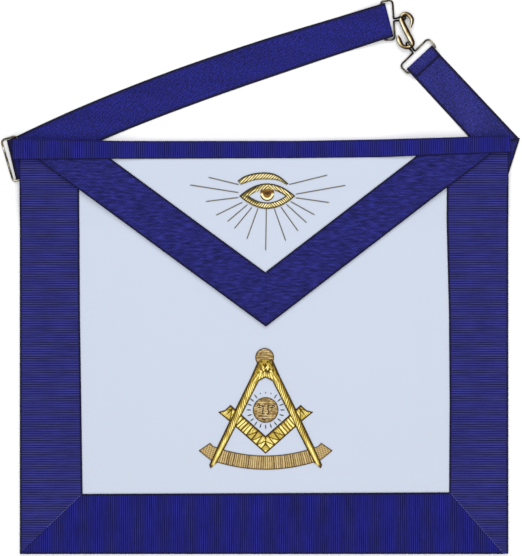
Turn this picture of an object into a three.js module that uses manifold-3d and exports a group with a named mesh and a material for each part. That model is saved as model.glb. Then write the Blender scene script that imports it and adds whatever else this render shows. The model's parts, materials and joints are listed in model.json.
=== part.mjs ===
// A ceremonial apron of white leather, lying flat with its front up: ribbon borders, a pointed flap,
// a binding along the top edge, and a webbing belt that closes with a snake hook.
// Millimetres, +Z up. The pieces are laid out from the apron's centre line (x) and its top line (y, upwards),
// above the surface that it lies on (z).
import * as THREE from 'three';
import { mergeVertices } from 'three/addons/utils/BufferGeometryUtils.js';
import Module from 'manifold-3d';

const wasm = await Module();
wasm.setup();

// Sizes of the apron
const APRON_WIDTH = 406.4;
const APRON_HEIGHT = 344;
const LEATHER = 1.2;
const FLAP_LEATHER = 1;
const RIBBON = 1;
const SEAM_GAP = 0.25;
const BORDER_WIDTH = 50.8;
const RIGHT_MITRE_START = 4;
const BAND_WIDTH = 15.2;
const BAND_BACK = 15.2;
const BAND_LEFT_OVERHANG = 4.8;
const BAND_RIGHT_OVERHANG = 1;
const BAND_RIGHT_SLANT = 2.5;
const BAND_ROUND = 0.6;
const BAND_INNER_ROUND = 0.2;

// Sizes of the flap
const FLAP_DEPTH = 153.3;
const FLAP_POINT_SHIFT = 1.5;
const FLAP_LEFT_DROP = 4.5;
const FLAP_RIGHT_RISE = 0.4;
const FLAP_RIBBON_WIDTH = 36.3;
const FLAP_INSET = 0.6;

// Sizes of the belt and its wire
const BELT_WIDTH = 32.1;
const WEBBING = 1;
const TAIL_LENGTH = 62;
const WIRE = 1.6;
const RING_LENGTH = 32.5;
const RING_DEPTH = 9.8;
const RING_ROUND = 2.6;
const RING_SLACK = 1.5;
const ADJUSTER_LENGTH = 35.8;
const ADJUSTER_DEPTH = 13.4;
const ADJUSTER_REACH = 2.5;
const ADJUSTER_TURN = 3;
const LONG_BELT_HEM = 16;
const SHORT_BELT_HEM = 9;
const SHORT_BELT_LENGTH = 109.5;
const SHORT_BELT_HEADING = 132.6;
const LONG_BELT_END_HEADING = 15;
const LEFT_TAIL_HEADING = 0;
const RIGHT_TAIL_HEADING = 191.4;
const LEFT_FOLD = { outside: 4.6, down: 15.9 };
const RIGHT_FOLD = { outside: 3.3, down: 14.3 };
const EYE_REACH = 9.9;
const EYE_HALF = 2.4;
const HOOK_LENGTH = 30.5;
const HOOK_THICKNESS = 3.3;

// Sizes of the drape: how far a layer takes to come down beside what lies under it
const DRAPE = 34;
const RING_DRAPE = 28;
const CORNER_DEPTH = 44;
const CORNER_INSIDE = 74;
const RING_HOLD = 10;
const SKEW_REACH = 52;

// Sizes of the embroidery
const PAD_EDGE = 0.35;
const LEG_RELIEF = 2.5;
const HEAD_RELIEF = 2.2;
const SQUARE_RELIEF = 1.2;
const QUADRANT_RELIEF = 1.1;
const SUN_RELIEF = 1.6;
const LID_RELIEF = 1.7;
const BROW_RELIEF = 1.6;
const IRIS_RELIEF = 1.3;
const EMBLEM_SIZE = 102;
const EMBLEM_DROP = 178.8;
const EMBLEM_SHIFT = 1.7;
const EYE_SIZE = 46.7;
const EYE_DROP = 46.6;
const EYE_SHIFT = 3.1;

// Steps of the meshes
const COLUMN_STEP = 9;
const PLAIN_STEP = 34;
const FOLD_STEPS = 5;
const BELT_STEPS = 17;
const BELT_COLUMNS = 4;
const HEM_STEPS = 4;
const NEAR_RING = [0.93, 0.96];
const FLAP_ROWS = [0, 0.06, 0.12, 0.18, 0.25, 0.33, 0.43, 0.6, 1];
const RIBBON_ROWS = 4;
const WELD = 1e-4;
const WIRE_SIDES = 6;
const RING_STEPS = 76;
const ADJUSTER_STEPS = 44;
const HOOK_SIDES = 10;
const HOOK_STEPS = 40;
const CURVE_STEPS = 7;
const DISC_STEPS = 24;

// Top edge and lower edge of the binding: across as a share of the apron's width, the others of BAND_WIDTH.
const BAND_EDGES = [
  { across: 0, rise: 0.09, drop: 1.06 },
  { across: 0.2, rise: -0.02, drop: 1.01 },
  { across: 0.57, rise: -0.01, drop: 0.96 },
  { across: 0.75, rise: 0.08, drop: 0.91 },
  { across: 0.87, rise: 0.16, drop: 0.78 },
  { across: 1, rise: 0.29, drop: 0.67 },
];

// Widths of the side borders down the apron, as shares of APRON_HEIGHT and BORDER_WIDTH.
const SIDE_WIDTHS = [
  { down: 0.19, left: 0.976, right: 1.012 },
  { down: 0.41, left: 0.984, right: 0.973 },
  { down: 0.63, left: 1.006, right: 0.961 },
  { down: 0.85, left: 1.028, right: 0.97 },
];
const BOTTOM_WIDTHS = { left: 0.986, right: 1.012 };

// Bow of the long strap from the straight line between its ends, as shares of that line's length,
// and how far the webbing is squeezed to the ring's inside width (0 none, 1 all).
const LONG_BELT_RUN = [
  { along: 0, bow: 0, squeeze: 0 },
  { along: 0.15, bow: 0.0133, squeeze: 0 },
  { along: 0.3, bow: 0.0215, squeeze: 0 },
  { along: 0.46, bow: 0.0241, squeeze: 0 },
  { along: 0.7, bow: 0.0188, squeeze: 0.25 },
  { along: 0.85, bow: 0.0118, squeeze: 0.7 },
  { along: 1, bow: 0, squeeze: 1 },
];
const SHORT_BELT_RUN = [
  { along: 0, bow: 0, squeeze: 0.75 },
  { along: 0.5, bow: 0, squeeze: 0.85 },
  { along: 1, bow: 0, squeeze: 1 },
];

// Hairpin eye in a ring's outer bar: out as a share of EYE_REACH, side of EYE_HALF,
// up from the lowest (0) to the highest (1) place of the wire; bar is where it leaves the bar's own height.
const EYE_PATH = [
  { out: 0.22, side: 0.62, up: 0.45 },
  { out: 0.45, side: 0.6, up: 0.92 },
  { out: 0.68, side: 0.6, up: 1 },
  { out: 0.9, side: 0.45, up: 0.85 },
  { out: 1, side: 0, up: 0.5 },
  { out: 0.9, side: -0.45, up: 0.14 },
  { out: 0.68, side: -0.6, up: 0 },
  { out: 0.45, side: -0.6, up: 0 },
  { out: 0.22, side: -0.62, up: 0.1 },
];

// Centre line of the snake hook from its tail to its head's tip: x, y, wide as shares of HOOK_LENGTH,
// deep as a share of HOOK_THICKNESS.
const HOOK_FORM = [
  { x: 0.106, y: 0.082, wide: 0.03, deep: 0.3 },
  { x: 0.145, y: 0.213, wide: 0.066, deep: 0.66 },
  { x: 0.15, y: 0.314, wide: 0.08, deep: 0.8 },
  { x: 0.095, y: 0.404, wide: 0.092, deep: 0.9 },
  { x: 0.014, y: 0.455, wide: 0.1, deep: 0.94 },
  { x: -0.068, y: 0.455, wide: 0.1, deep: 0.94 },
  { x: -0.136, y: 0.396, wide: 0.1, deep: 0.94 },
  { x: -0.15, y: 0.325, wide: 0.1, deep: 0.94 },
  { x: -0.108, y: 0.215, wide: 0.108, deep: 1 },
  { x: 0, y: -0.014, wide: 0.11, deep: 1 },
  { x: 0.123, y: -0.245, wide: 0.108, deep: 1 },
  { x: 0.161, y: -0.335, wide: 0.1, deep: 0.94 },
  { x: 0.136, y: -0.409, wide: 0.096, deep: 0.92 },
  { x: 0.06, y: -0.447, wide: 0.094, deep: 0.9 },
  { x: -0.03, y: -0.447, wide: 0.094, deep: 0.9 },
  { x: -0.123, y: -0.395, wide: 0.1, deep: 0.9 },
  { x: -0.177, y: -0.314, wide: 0.128, deep: 0.9 },
  { x: -0.215, y: -0.218, wide: 0.112, deep: 0.8 },
  { x: -0.237, y: -0.123, wide: 0.03, deep: 0.35 },
];
const HOOK_TOP_SEAT = { x: -0.145, y: 0.333 };
const HOOK_LOWER_SEAT = { x: 0.055, y: -0.445 };
const HOOK_SEAT_IN_EYE = 0.62;

// Rings of the two straps: turn is the direction that the eye points in, back how far the ring's inner bar
// lies inside the webbing's loop, hand which branch of the eye passes over the hook, lean its sideways lean.
const LONG_RING = { turn: 3.7, back: 3.9, hand: 1, lean: 0.9, shift: 0.5 };
const SHORT_RING = { turn: 134.3, back: 0.5, hand: -1, lean: 0.9, shift: 0 };

// Half outlines of the emblem, from its head's centre: down and half widths as shares of EMBLEM_SIZE.
const HEAD_RADIUS = 0.073;
const LEG_OUTER = [
  { down: 0.03, half: 0.055 },
  { down: 0.184, half: 0.122 },
  { down: 0.482, half: 0.268 },
  { down: 0.796, half: 0.418 },
  { down: 0.898, half: 0.461 },
  { down: 0.926, half: 0.45 },
];
const LEG_INNER = [
  { down: 0.88, half: 0.395 },
  { down: 0.796, half: 0.351 },
  { down: 0.482, half: 0.191 },
  { down: 0.213, half: 0.055 },
  { down: 0.184, half: 0 },
];
const SQUARE_OUTLINE = [
  { down: 0.806, half: 0 },
  { down: 0.53, half: 0.31 },
  { down: 0.466, half: 0.389 },
  { down: 0.45, half: 0.333 },
  { down: 0.407, half: 0.286 },
  { down: 0.661, half: 0 },
];
const QUADRANT = { top: 0.821, bottom: 0.936, bend: 1.2235, reach: 0.452, barb: 0.018 };
const QUADRANT_TIP = { down: 0.781, half: 0.547 };
const SUN = { down: 0.449, radius: 0.104 };

// Outlines of the eye, from the middle of the lids, as shares of EYE_SIZE.
const LIDS = {
  outer: { half: 0.5, top: 0.225, bottom: 0.23 },
  inner: { half: 0.325, top: 0.115, bottom: 0.116 },
};
const IRIS = { up: 0.04, radius: 0.125 };
const BROW = {
  leftTop: { x: -0.528, y: 0.271 },
  leftLow: { x: -0.46, y: 0.203 },
  rightTop: { x: 0.381, y: 0.214 },
  rightLow: { x: 0.348, y: 0.203 },
  middle: { x: -0.05, top: 0.419, low: 0.294 },
};

// Colours and finishes
const FINISHES = {
  leather: { color: 0xd1dae9, roughness: 0.62, metalness: 0 },
  ribbon: { color: 0x2a2d74, roughness: 0.6, metalness: 0 },
  webbing: { color: 0x282a74, roughness: 0.65, metalness: 0 },
  bullion: { color: 0xc9a03a, roughness: 0.42, metalness: 0.6 },
  gilt: { color: 0xd8b25a, roughness: 0.25, metalness: 1 },
};

// Worked-out places
const HALF = APRON_WIDTH / 2;
const BELT_LIFT = WEBBING + SEAM_GAP;
const RING_LIFT = WIRE + SEAM_GAP;
const EDGE_INSET = RIBBON + SEAM_GAP;
const RING_INSIDE_GAP = WIRE + 2 * SEAM_GAP;
const SNUG_WIDTH = RING_LENGTH - WIRE - 2 * SEAM_GAP - RING_SLACK;
const BAR_HEIGHT = WEBBING + SEAM_GAP + WIRE / 2;
const HOOK_HEIGHT = WIRE + SEAM_GAP + HOOK_THICKNESS / 2;
const EYE_LOW = WIRE / 2;
const EYE_HIGH = WIRE + SEAM_GAP + HOOK_THICKNESS + SEAM_GAP + WIRE / 2;
const FLAP_SLOPE = { left: (FLAP_DEPTH - FLAP_LEFT_DROP) / (HALF + FLAP_POINT_SHIFT),
  right: (FLAP_DEPTH + FLAP_RIGHT_RISE) / (HALF - FLAP_POINT_SHIFT) };

const { clamp, lerp, smoothstep, degToRad } = THREE.MathUtils;

// Value of one column of a table, between the rows on either side.
function readTable(rows, key, at, column) {
  const next = rows.findIndex((row) => row[key] >= at);
  if (next === 0) return rows[0][column];
  if (next < 0) return rows[rows.length - 1][column];
  const before = rows[next - 1];
  const share = (at - before[key]) / (rows[next][key] - before[key]);
  return lerp(before[column], rows[next][column], share);
}

function direction(degrees) {
  const angle = degToRad(degrees);
  return new THREE.Vector3(Math.cos(angle), Math.sin(angle), 0);
}

// Stations from one place to another, no further apart than step.
function stations(from, to, step) {
  const count = Math.max(1, Math.ceil(Math.abs(to - from) / step));
  return Array.from({ length: count + 1 }, (_, i) => lerp(from, to, i / count));
}

function joinStations(...lists) {
  return lists.flatMap((list, i) => (i === 0 ? list : list.slice(1)));
}

// Turns the faces over where a mesh was made inside out.
function facingOut(geometry) {
  const index = geometry.getIndex();
  const position = geometry.getAttribute('position');
  const [a, b, c] = [new THREE.Vector3(), new THREE.Vector3(), new THREE.Vector3()];
  let volume = 0;
  for (let i = 0; i < index.count; i += 3) {
    a.fromBufferAttribute(position, index.getX(i));
    b.fromBufferAttribute(position, index.getX(i + 1));
    c.fromBufferAttribute(position, index.getX(i + 2));
    volume += a.dot(b.cross(c));
  }
  if (volume >= 0) return geometry;
  const turned = [];
  for (let i = 0; i < index.count; i += 3) turned.push(index.getX(i), index.getX(i + 2), index.getX(i + 1));
  geometry.setIndex(turned);
  return geometry;
}

function meshGeometry(points, triangles) {
  const geometry = new THREE.BufferGeometry();
  const coordinates = points.flatMap((point) => [point.x, point.y, point.z]);
  geometry.setAttribute('position', new THREE.Float32BufferAttribute(coordinates, 3));
  geometry.setIndex(triangles);
  return facingOut(geometry);
}

// One closed body from a grid: place(i, j, side) is the point of column i and row j on side 0 or side 1.
function slab(columns, rows, place) {
  const points = [];
  const triangles = [];
  const at = (i, j, side) => (side * columns + i) * rows + j;
  const quad = (a, b, c, d) => triangles.push(a, b, c, a, c, d);
  for (const side of [0, 1]) {
    for (let i = 0; i < columns; i++) {
      for (let j = 0; j < rows; j++) points.push(place(i, j, side));
    }
  }
  const lastColumn = columns - 1;
  const lastRow = rows - 1;
  for (let i = 0; i < lastColumn; i++) {
    for (let j = 0; j < lastRow; j++) {
      quad(at(i, j, 1), at(i + 1, j, 1), at(i + 1, j + 1, 1), at(i, j + 1, 1));
      quad(at(i, j, 0), at(i, j + 1, 0), at(i + 1, j + 1, 0), at(i + 1, j, 0));
    }
    quad(at(i, 0, 0), at(i + 1, 0, 0), at(i + 1, 0, 1), at(i, 0, 1));
    quad(at(i + 1, lastRow, 0), at(i, lastRow, 0), at(i, lastRow, 1), at(i + 1, lastRow, 1));
  }
  for (let j = 0; j < lastRow; j++) {
    quad(at(0, j + 1, 0), at(0, j, 0), at(0, j, 1), at(0, j + 1, 1));
    quad(at(lastColumn, j, 0), at(lastColumn, j + 1, 0), at(lastColumn, j + 1, 1), at(lastColumn, j, 1));
  }
  return meshGeometry(points, triangles);
}

// Heights of the layers
// The belt's strap and sewn end lie under each top corner, the adjuster's bar between them on the left,
// and the binding's back along the top edge. The panel and all above it come down beside them.
function cornerShare(x, y) {
  const inwards = smoothstep(Math.abs(x), HALF - CORNER_INSIDE - DRAPE, HALF - CORNER_INSIDE);
  return inwards * (1 - smoothstep(-y, CORNER_DEPTH, CORNER_DEPTH + DRAPE));
}

function ringShare(x) {
  return 1 - smoothstep(x, -HALF + RING_HOLD, -HALF + RING_HOLD + RING_DRAPE);
}

function backLift(x, y) {
  return cornerShare(x, y) * (2 * BELT_LIFT + RING_LIFT * ringShare(x));
}

function panelUnder(x, y) {
  const bindingShare = 1 - smoothstep(-y, BAND_BACK + RIBBON, BAND_BACK + RIBBON + DRAPE);
  return backLift(x, y) + bindingShare * (RIBBON + SEAM_GAP);
}

function panelTop(x, y) {
  return panelUnder(x, y) + LEATHER;
}

function borderUnder(x, y) {
  return panelTop(x, y) + SEAM_GAP;
}

function flapUnder(x, y) {
  const widest = BORDER_WIDTH * Math.max(SIDE_WIDTHS[0].left, SIDE_WIDTHS[0].right) + RIBBON;
  const onBorder = 1 - smoothstep(HALF - Math.abs(x), widest, widest + DRAPE);
  return panelTop(x, y) + SEAM_GAP + onBorder * (RIBBON + SEAM_GAP);
}

function flapTop(x, y) {
  return flapUnder(x, y) + FLAP_LEATHER;
}

function flapRibbonUnder(x, y) {
  return flapTop(x, y) + SEAM_GAP;
}

function bandFrontUnder(x) {
  const side = x < FLAP_POINT_SHIFT ? 'left' : 'right';
  const innerAtBand = ribbonReach(side) - RIBBON;
  const onRibbon = smoothstep(Math.abs(x), innerAtBand - DRAPE, innerAtBand);
  return flapTop(x, 0) + SEAM_GAP + onRibbon * (RIBBON + SEAM_GAP);
}

// Edges
function acrossShare(x) {
  return (x + HALF) / APRON_WIDTH;
}

function bandTop(x) {
  return readTable(BAND_EDGES, 'across', acrossShare(x), 'rise') * BAND_WIDTH;
}

function bandFoot(x) {
  return -readTable(BAND_EDGES, 'across', acrossShare(x), 'drop') * BAND_WIDTH;
}

function panelEdge(x) {
  return bandTop(x) - EDGE_INSET;
}

function flapOuter(x) {
  const side = x < FLAP_POINT_SHIFT ? 'left' : 'right';
  return -FLAP_DEPTH + Math.abs(x - FLAP_POINT_SHIFT) * FLAP_SLOPE[side];
}

function flapInner(x) {
  const side = x < FLAP_POINT_SHIFT ? 'left' : 'right';
  return flapOuter(x) + FLAP_RIBBON_WIDTH * Math.hypot(1, FLAP_SLOPE[side]);
}

// How far from the centre line the flap ribbon's inner edge comes out from under the binding.
function ribbonReach(side) {
  const inner = FLAP_DEPTH - FLAP_RIBBON_WIDTH * Math.hypot(1, FLAP_SLOPE[side]);
  return (inner - BAND_WIDTH) / FLAP_SLOPE[side];
}

function sideColumns(side) {
  const rampEnd = side * (HALF - CORNER_INSIDE - DRAPE);
  return [stations(side * HALF, rampEnd, COLUMN_STEP), stations(rampEnd, 0, PLAIN_STEP)];
}

function wholeColumns() {
  const [leftRamp, leftPlain] = sideColumns(-1);
  const [rightRamp, rightPlain] = sideColumns(1).map((list) => [...list].reverse());
  return joinStations(leftRamp, leftPlain, rightPlain, rightRamp);
}

// Depths where the layers bend, as shares of the apron's height.
function depthShares() {
  const bendEnd = CORNER_DEPTH + DRAPE;
  const depths = [...stations(0, bendEnd, COLUMN_STEP), APRON_HEIGHT];
  return depths.map((depth) => depth / APRON_HEIGHT);
}

// A layer of even thickness between an upper and a lower edge, laid on a surface.
function layer(columns, shares, upper, lower, under, thickness) {
  return slab(columns.length, shares.length, (i, j, side) => {
    const x = columns[i];
    const y = lerp(upper(x), lower(x), shares[j]);
    return new THREE.Vector3(x, y, under(x, y) + side * thickness);
  });
}

function apronPanel() {
  return layer(wholeColumns(), depthShares(), panelEdge, () => -APRON_HEIGHT, panelUnder, LEATHER);
}

function sideWidth(side, y) {
  return readTable(SIDE_WIDTHS, 'down', -y / APRON_HEIGHT, side) * BORDER_WIDTH;
}

// A side border: its lower end follows the mitre from the inner corner to the bottom edge.
function sideBorder(side) {
  const sign = side === 'left' ? -1 : 1;
  const mitreStart = side === 'left' ? 0 : RIGHT_MITRE_START / BORDER_WIDTH;
  const plain = stations(0, 1, COLUMN_STEP / BORDER_WIDTH);
  const columns = mitreStart > 0 ? [0, mitreStart, ...plain.slice(1)] : plain;
  const shares = depthShares();
  const footHeight = BOTTOM_WIDTHS[side] * BORDER_WIDTH;
  return slab(columns.length, shares.length, (i, j, face) => {
    const share = columns[i];
    const foot = Math.max(0, (share - mitreStart) / (1 - mitreStart)) * footHeight;
    const top = panelEdge(sign * (HALF - share * BORDER_WIDTH));
    const y = lerp(top, foot - APRON_HEIGHT, shares[j]);
    const x = sign * (HALF - share * sideWidth(side, y));
    return new THREE.Vector3(x, y, borderUnder(x, y) + face * RIBBON);
  });
}

function bottomBorder() {
  const gap = SEAM_GAP * Math.SQRT2;
  const floor = -APRON_HEIGHT;
  const inner = {
    left: floor + BOTTOM_WIDTHS.left * BORDER_WIDTH,
    right: floor + BOTTOM_WIDTHS.right * BORDER_WIDTH,
  };
  const outline = new THREE.Shape([
    new THREE.Vector2(-HALF + gap, floor),
    new THREE.Vector2(HALF - RIGHT_MITRE_START - gap, floor),
    new THREE.Vector2(HALF - sideWidth('right', inner.right) - gap, inner.right),
    new THREE.Vector2(-HALF + sideWidth('left', inner.left) + gap, inner.left),
  ]);
  const geometry = new THREE.ExtrudeGeometry(outline, { depth: RIBBON, bevelEnabled: false });
  return laidOn(geometry, borderUnder);
}

// The flap
function flapPanel() {
  const columns = wholeColumns().map((x) => (x === 0 ? FLAP_POINT_SHIFT : x));
  return layer(columns, FLAP_ROWS, panelEdge, (x) => flapOuter(x) + FLAP_INSET, flapUnder, FLAP_LEATHER);
}

function flapRibbon(side) {
  const sign = side === 'left' ? -1 : 1;
  const seam = FLAP_POINT_SHIFT + sign * SEAM_GAP / 2;
  const [ramp, plain] = sideColumns(sign);
  const columns = joinStations(ramp, plain).map((x) => (x === 0 ? seam : x));
  const upper = (x) => Math.min(flapInner(x), panelEdge(x));
  return layer(columns, stations(0, 1, 1 / RIBBON_ROWS), upper, flapOuter, flapRibbonUnder, RIBBON);
}

// The binding: a strip folded over the top edge, here as its section's outer and inner line.
function topBand() {
  const columns = [-HALF - BAND_LEFT_OVERHANG, ...wholeColumns(), HALF + BAND_RIGHT_OVERHANG];
  const section = (x) => {
    const onPanel = clamp(x, -HALF, HALF);
    const top = bandTop(onPanel);
    const foot = bandFoot(onPanel);
    const back = backLift(onPanel, 0);
    const front = bandFrontUnder(onPanel);
    const inside = top - RIBBON;
    return [
      [[-BAND_BACK, back], [-BAND_BACK, back + RIBBON]],
      [[top - BAND_ROUND, back], [inside - BAND_INNER_ROUND, back + RIBBON]],
      [[top, back + BAND_ROUND], [inside, back + RIBBON + BAND_INNER_ROUND]],
      [[top, front + RIBBON - BAND_ROUND], [inside, front - BAND_INNER_ROUND]],
      [[top - BAND_ROUND, front + RIBBON], [inside - BAND_INNER_ROUND, front]],
      [[foot, front + RIBBON], [foot, front]],
    ];
  };
  const lines = columns.map(section);
  return slab(columns.length, lines[0].length, (i, j, side) => {
    const [y, z] = lines[i][j][side];
    const slant = i === columns.length - 1 ? BAND_RIGHT_SLANT * clamp(-y / BAND_WIDTH, 0, 1) : 0;
    return new THREE.Vector3(columns[i] + slant, y, z);
  });
}

// The belt
// A strap is a list of stations: its middle, the vector across it for one millimetre of its width,
// the normal of the face that is underneath along its run, and its width there.
function strapGeometry(list) {
  const shares = stations(-0.5, 0.5, 1 / BELT_COLUMNS);
  return slab(list.length, shares.length, (i, j, side) => {
    const { middle, across, normal, width } = list[i];
    return middle.clone()
      .addScaledVector(across, shares[j] * width)
      .addScaledVector(normal, (side - 0.5) * WEBBING);
  });
}

// Stations round a fold: the strap turns about an axis, ahead is the way to the fold, rise is +1 where it
// turns upwards and -1 where it turns down; the stations' height is taken from the strap's middle.
function foldStations(axis, ahead, across, width, radius, rise) {
  return stations(0, Math.PI, Math.PI / FOLD_STEPS).map((angle) => ({
    middle: axis.clone().addScaledVector(ahead, radius * Math.sin(angle))
      .add(new THREE.Vector3(0, 0, rise * radius * (1 - Math.cos(angle)))),
    across,
    normal: ahead.clone().multiplyScalar(rise * Math.sin(angle)).setZ(-Math.cos(angle)),
    width,
  }));
}

function beltRoute(from, to, rows) {
  const chord = new THREE.Vector3().subVectors(to, from);
  const aside = new THREE.Vector3(-chord.y, chord.x, 0);
  const points = rows.map((row) => (
    from.clone().addScaledVector(chord, row.along).addScaledVector(aside, row.bow)));
  return new THREE.CatmullRomCurve3(points, false, 'centripetal');
}

function reflected(vector, line) {
  return line.clone().multiplyScalar(2 * vector.dot(line)).sub(vector);
}

// Where a strap leaves its corner: the fold line's direction, the way out of the fold and the vectors across.
function cornerFold(route, tailHeading) {
  const run = route.getTangentAt(0).setZ(0).normalize();
  const tail = direction(tailHeading);
  const line = new THREE.Vector3().subVectors(tail, run).normalize();
  const ahead = new THREE.Vector3().addVectors(tail, run).normalize().negate();
  const square = new THREE.Vector3(-run.y, run.x, 0);
  const slope = line.dot(run) / line.dot(square);
  return { run, tail, line, ahead, slope, square, tailSquare: reflected(square, line) };
}

function belt({ route, rows, tailHeading, insideGap, hem, hemUnder, ringBack }) {
  const flatMiddle = WEBBING / 2;
  const radius = (insideGap + WEBBING) / 2;
  const loopRadius = (RING_INSIDE_GAP + WEBBING) / 2;
  const corner = cornerFold(route, tailHeading);
  const length = route.getLength();
  const widthAt = (share) => lerp(BELT_WIDTH, SNUG_WIDTH, readTable(rows, 'along', share, 'squeeze'));
  const hold = ringBack + WIRE;
  const loopDrop = 2 * loopRadius - BELT_LIFT;

  // Sewn end, from its hidden edge to the fold
  const start = route.getPointAt(0);
  const tailSlope = corner.line.dot(corner.tail) / corner.line.dot(corner.tailSquare);
  const tail = stations(TAIL_LENGTH, 0, COLUMN_STEP).map((distance) => {
    const skew = 1 - smoothstep(distance, 0, TAIL_LENGTH);
    const middle = start.clone().addScaledVector(corner.tail, distance);
    middle.z = flatMiddle + 2 * radius - (insideGap > RING_LIFT ? RING_LIFT * (1 - ringShare(middle.x)) : 0);
    return {
      middle,
      across: corner.tailSquare.clone().addScaledVector(corner.tail, skew * tailSlope),
      normal: new THREE.Vector3(0, 0, 1),
      width: widthAt(0),
    };
  });

  // Fold at the corner
  const foldAxis = start.clone().setZ(flatMiddle);
  const foldAcross = corner.square.clone().addScaledVector(corner.run, corner.slope);
  const fold = foldStations(foldAxis, corner.ahead, foldAcross, widthAt(0), radius, 1).reverse();

  // Run from the fold to the ring
  const runShares = stations(0, 1, 1 / BELT_STEPS);
  const inner = [...runShares, ...NEAR_RING, 1 - hold / length].filter((share) => share > 0 && share < 1);
  const shares = inner.sort((a, b) => a - b);
  const run = [...shares, 1].map((share) => {
    const middle = route.getPointAt(share);
    const way = route.getTangentAt(share).setZ(0).normalize();
    const climb = hemUnder ? smoothstep(share * length, length - hold - DRAPE, length - hold) : 0;
    middle.z = flatMiddle + climb * 2 * loopRadius;
    const skew = 1 - smoothstep(share * length, 0, SKEW_REACH);
    return {
      middle,
      across: new THREE.Vector3(-way.y, way.x, 0).addScaledVector(way, skew * corner.slope),
      normal: new THREE.Vector3(0, 0, -1),
      width: widthAt(share),
    };
  });

  // Loop round the ring's bar and the hem behind or before it
  const end = run[run.length - 1];
  const way = route.getTangentAt(1).setZ(0).normalize();
  const loop = foldStations(end.middle, way, end.across, SNUG_WIDTH, loopRadius, hemUnder ? -1 : 1).slice(1);
  const hemStart = loop[loop.length - 1];
  const hemStations = stations(0, hem, hem / HEM_STEPS).slice(1).map((distance) => {
    const middle = hemStart.middle.clone().addScaledVector(way, -distance);
    if (!hemUnder) middle.z -= loopDrop * smoothstep(distance, hold, hem);
    return { ...hemStart, middle };
  });
  return strapGeometry([...tail, ...fold.slice(1), ...run, ...loop, ...hemStations]);
}

// Rings
// Centre line of a wire rectangle from its inner bar, out towards its outer bar and along them.
function ringPath(length, depth, eye) {
  const half = length / 2;
  const cut = RING_ROUND * (1 - Math.SQRT1_2);
  const corner = (outSign, alongSign) => {
    const out = outSign > 0 ? depth : 0;
    return [
      [out, alongSign * (half - RING_ROUND)],
      [out - outSign * cut, alongSign * (half - cut)],
      [out - outSign * RING_ROUND, alongSign * half],
    ];
  };
  const flat = (pairs) => pairs.map(([out, along]) => ({ out, along, up: null }));
  const middleOfBar = eye
    ? [...flat([[depth, EYE_HALF * 2]]), ...eyePoints(depth, eye), ...flat([[depth, -EYE_HALF * 2]])]
    : [];
  return [
    ...flat([[0, 0]]),
    ...flat(corner(-1, 1)),
    ...flat(corner(1, 1).reverse()),
    ...middleOfBar,
    ...flat(corner(1, -1)),
    ...flat(corner(-1, -1).reverse()),
  ];
}

function eyePoints(depth, eye) {
  return EYE_PATH.map((row) => ({
    out: depth + row.out * EYE_REACH,
    along: row.side * EYE_HALF + eye.lean * row.out,
    up: lerp(EYE_LOW, EYE_HIGH, row.up),
  }));
}

// Places a ring: pivot is the middle of its inner bar, out the way to its outer bar.
function ringGeometry(pivot, out, path, hand, outerHeight, depth, steps) {
  const along = new THREE.Vector3(-out.y, out.x, 0).multiplyScalar(hand);
  const points = path.map((point) => {
    const up = point.up === null ? lerp(BAR_HEIGHT, outerHeight, point.out / depth) : point.up;
    return pivot.clone().addScaledVector(out, point.out).addScaledVector(along, point.along).setZ(up);
  });
  const curve = new THREE.CatmullRomCurve3(points, true, 'centripetal');
  const geometry = new THREE.TubeGeometry(curve, steps, WIRE / 2, WIRE_SIDES, true);
  return facingOut(positionsOnly(geometry));
}

// The snake hook: an oval section swept along its centre line, pointed at both ends.
function snakeHook(centre) {
  const points = HOOK_FORM.map((row) => new THREE.Vector3(row.x, row.y, 0).multiplyScalar(HOOK_LENGTH));
  const curve = new THREE.CatmullRomCurve3(points, false, 'centripetal');
  const rows = HOOK_FORM.map((row, i) => ({ ...row, at: i / (HOOK_FORM.length - 1) }));
  const rings = stations(0, 1, 1 / HOOK_STEPS).map((share) => {
    const tangent = curve.getTangent(share);
    return {
      middle: curve.getPoint(share).add(centre),
      aside: new THREE.Vector3(-tangent.y, tangent.x, 0),
      wide: readTable(rows, 'at', share, 'wide') * HOOK_LENGTH / 2,
      deep: readTable(rows, 'at', share, 'deep') * HOOK_THICKNESS / 2,
    };
  });
  const vertices = rings.flatMap(({ middle, aside, wide, deep }) => (
    Array.from({ length: HOOK_SIDES }, (_, side) => {
      const angle = 2 * Math.PI * side / HOOK_SIDES;
      return middle.clone().addScaledVector(aside, wide * Math.cos(angle))
        .add(new THREE.Vector3(0, 0, deep * Math.sin(angle)));
    })));
  const tail = vertices.push(rings[0].middle) - 1;
  const tip = vertices.push(rings[rings.length - 1].middle) - 1;
  const triangles = [];
  for (let side = 0; side < HOOK_SIDES; side++) {
    const next = (side + 1) % HOOK_SIDES;
    for (let ring = 0; ring < rings.length - 1; ring++) {
      const near = ring * HOOK_SIDES;
      const far = near + HOOK_SIDES;
      triangles.push(near + side, near + next, far + next, near + side, far + next, far + side);
    }
    const last = (rings.length - 1) * HOOK_SIDES;
    triangles.push(tail, next, side, tip, last + side, last + next);
  }
  return meshGeometry(vertices, triangles);
}

// Raised embroidery
function positionsOnly(geometry) {
  geometry.deleteAttribute('normal');
  geometry.deleteAttribute('uv');
  return mergeVertices(geometry, WELD);
}

// Lifts every point of a flat body by the height of the surface under it.
function laidOn(geometry, surface) {
  const merged = positionsOnly(geometry);
  const position = merged.getAttribute('position');
  for (let i = 0; i < position.count; i++) {
    position.setZ(i, position.getZ(i) + surface(position.getX(i), position.getY(i)));
  }
  return facingOut(merged);
}

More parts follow.
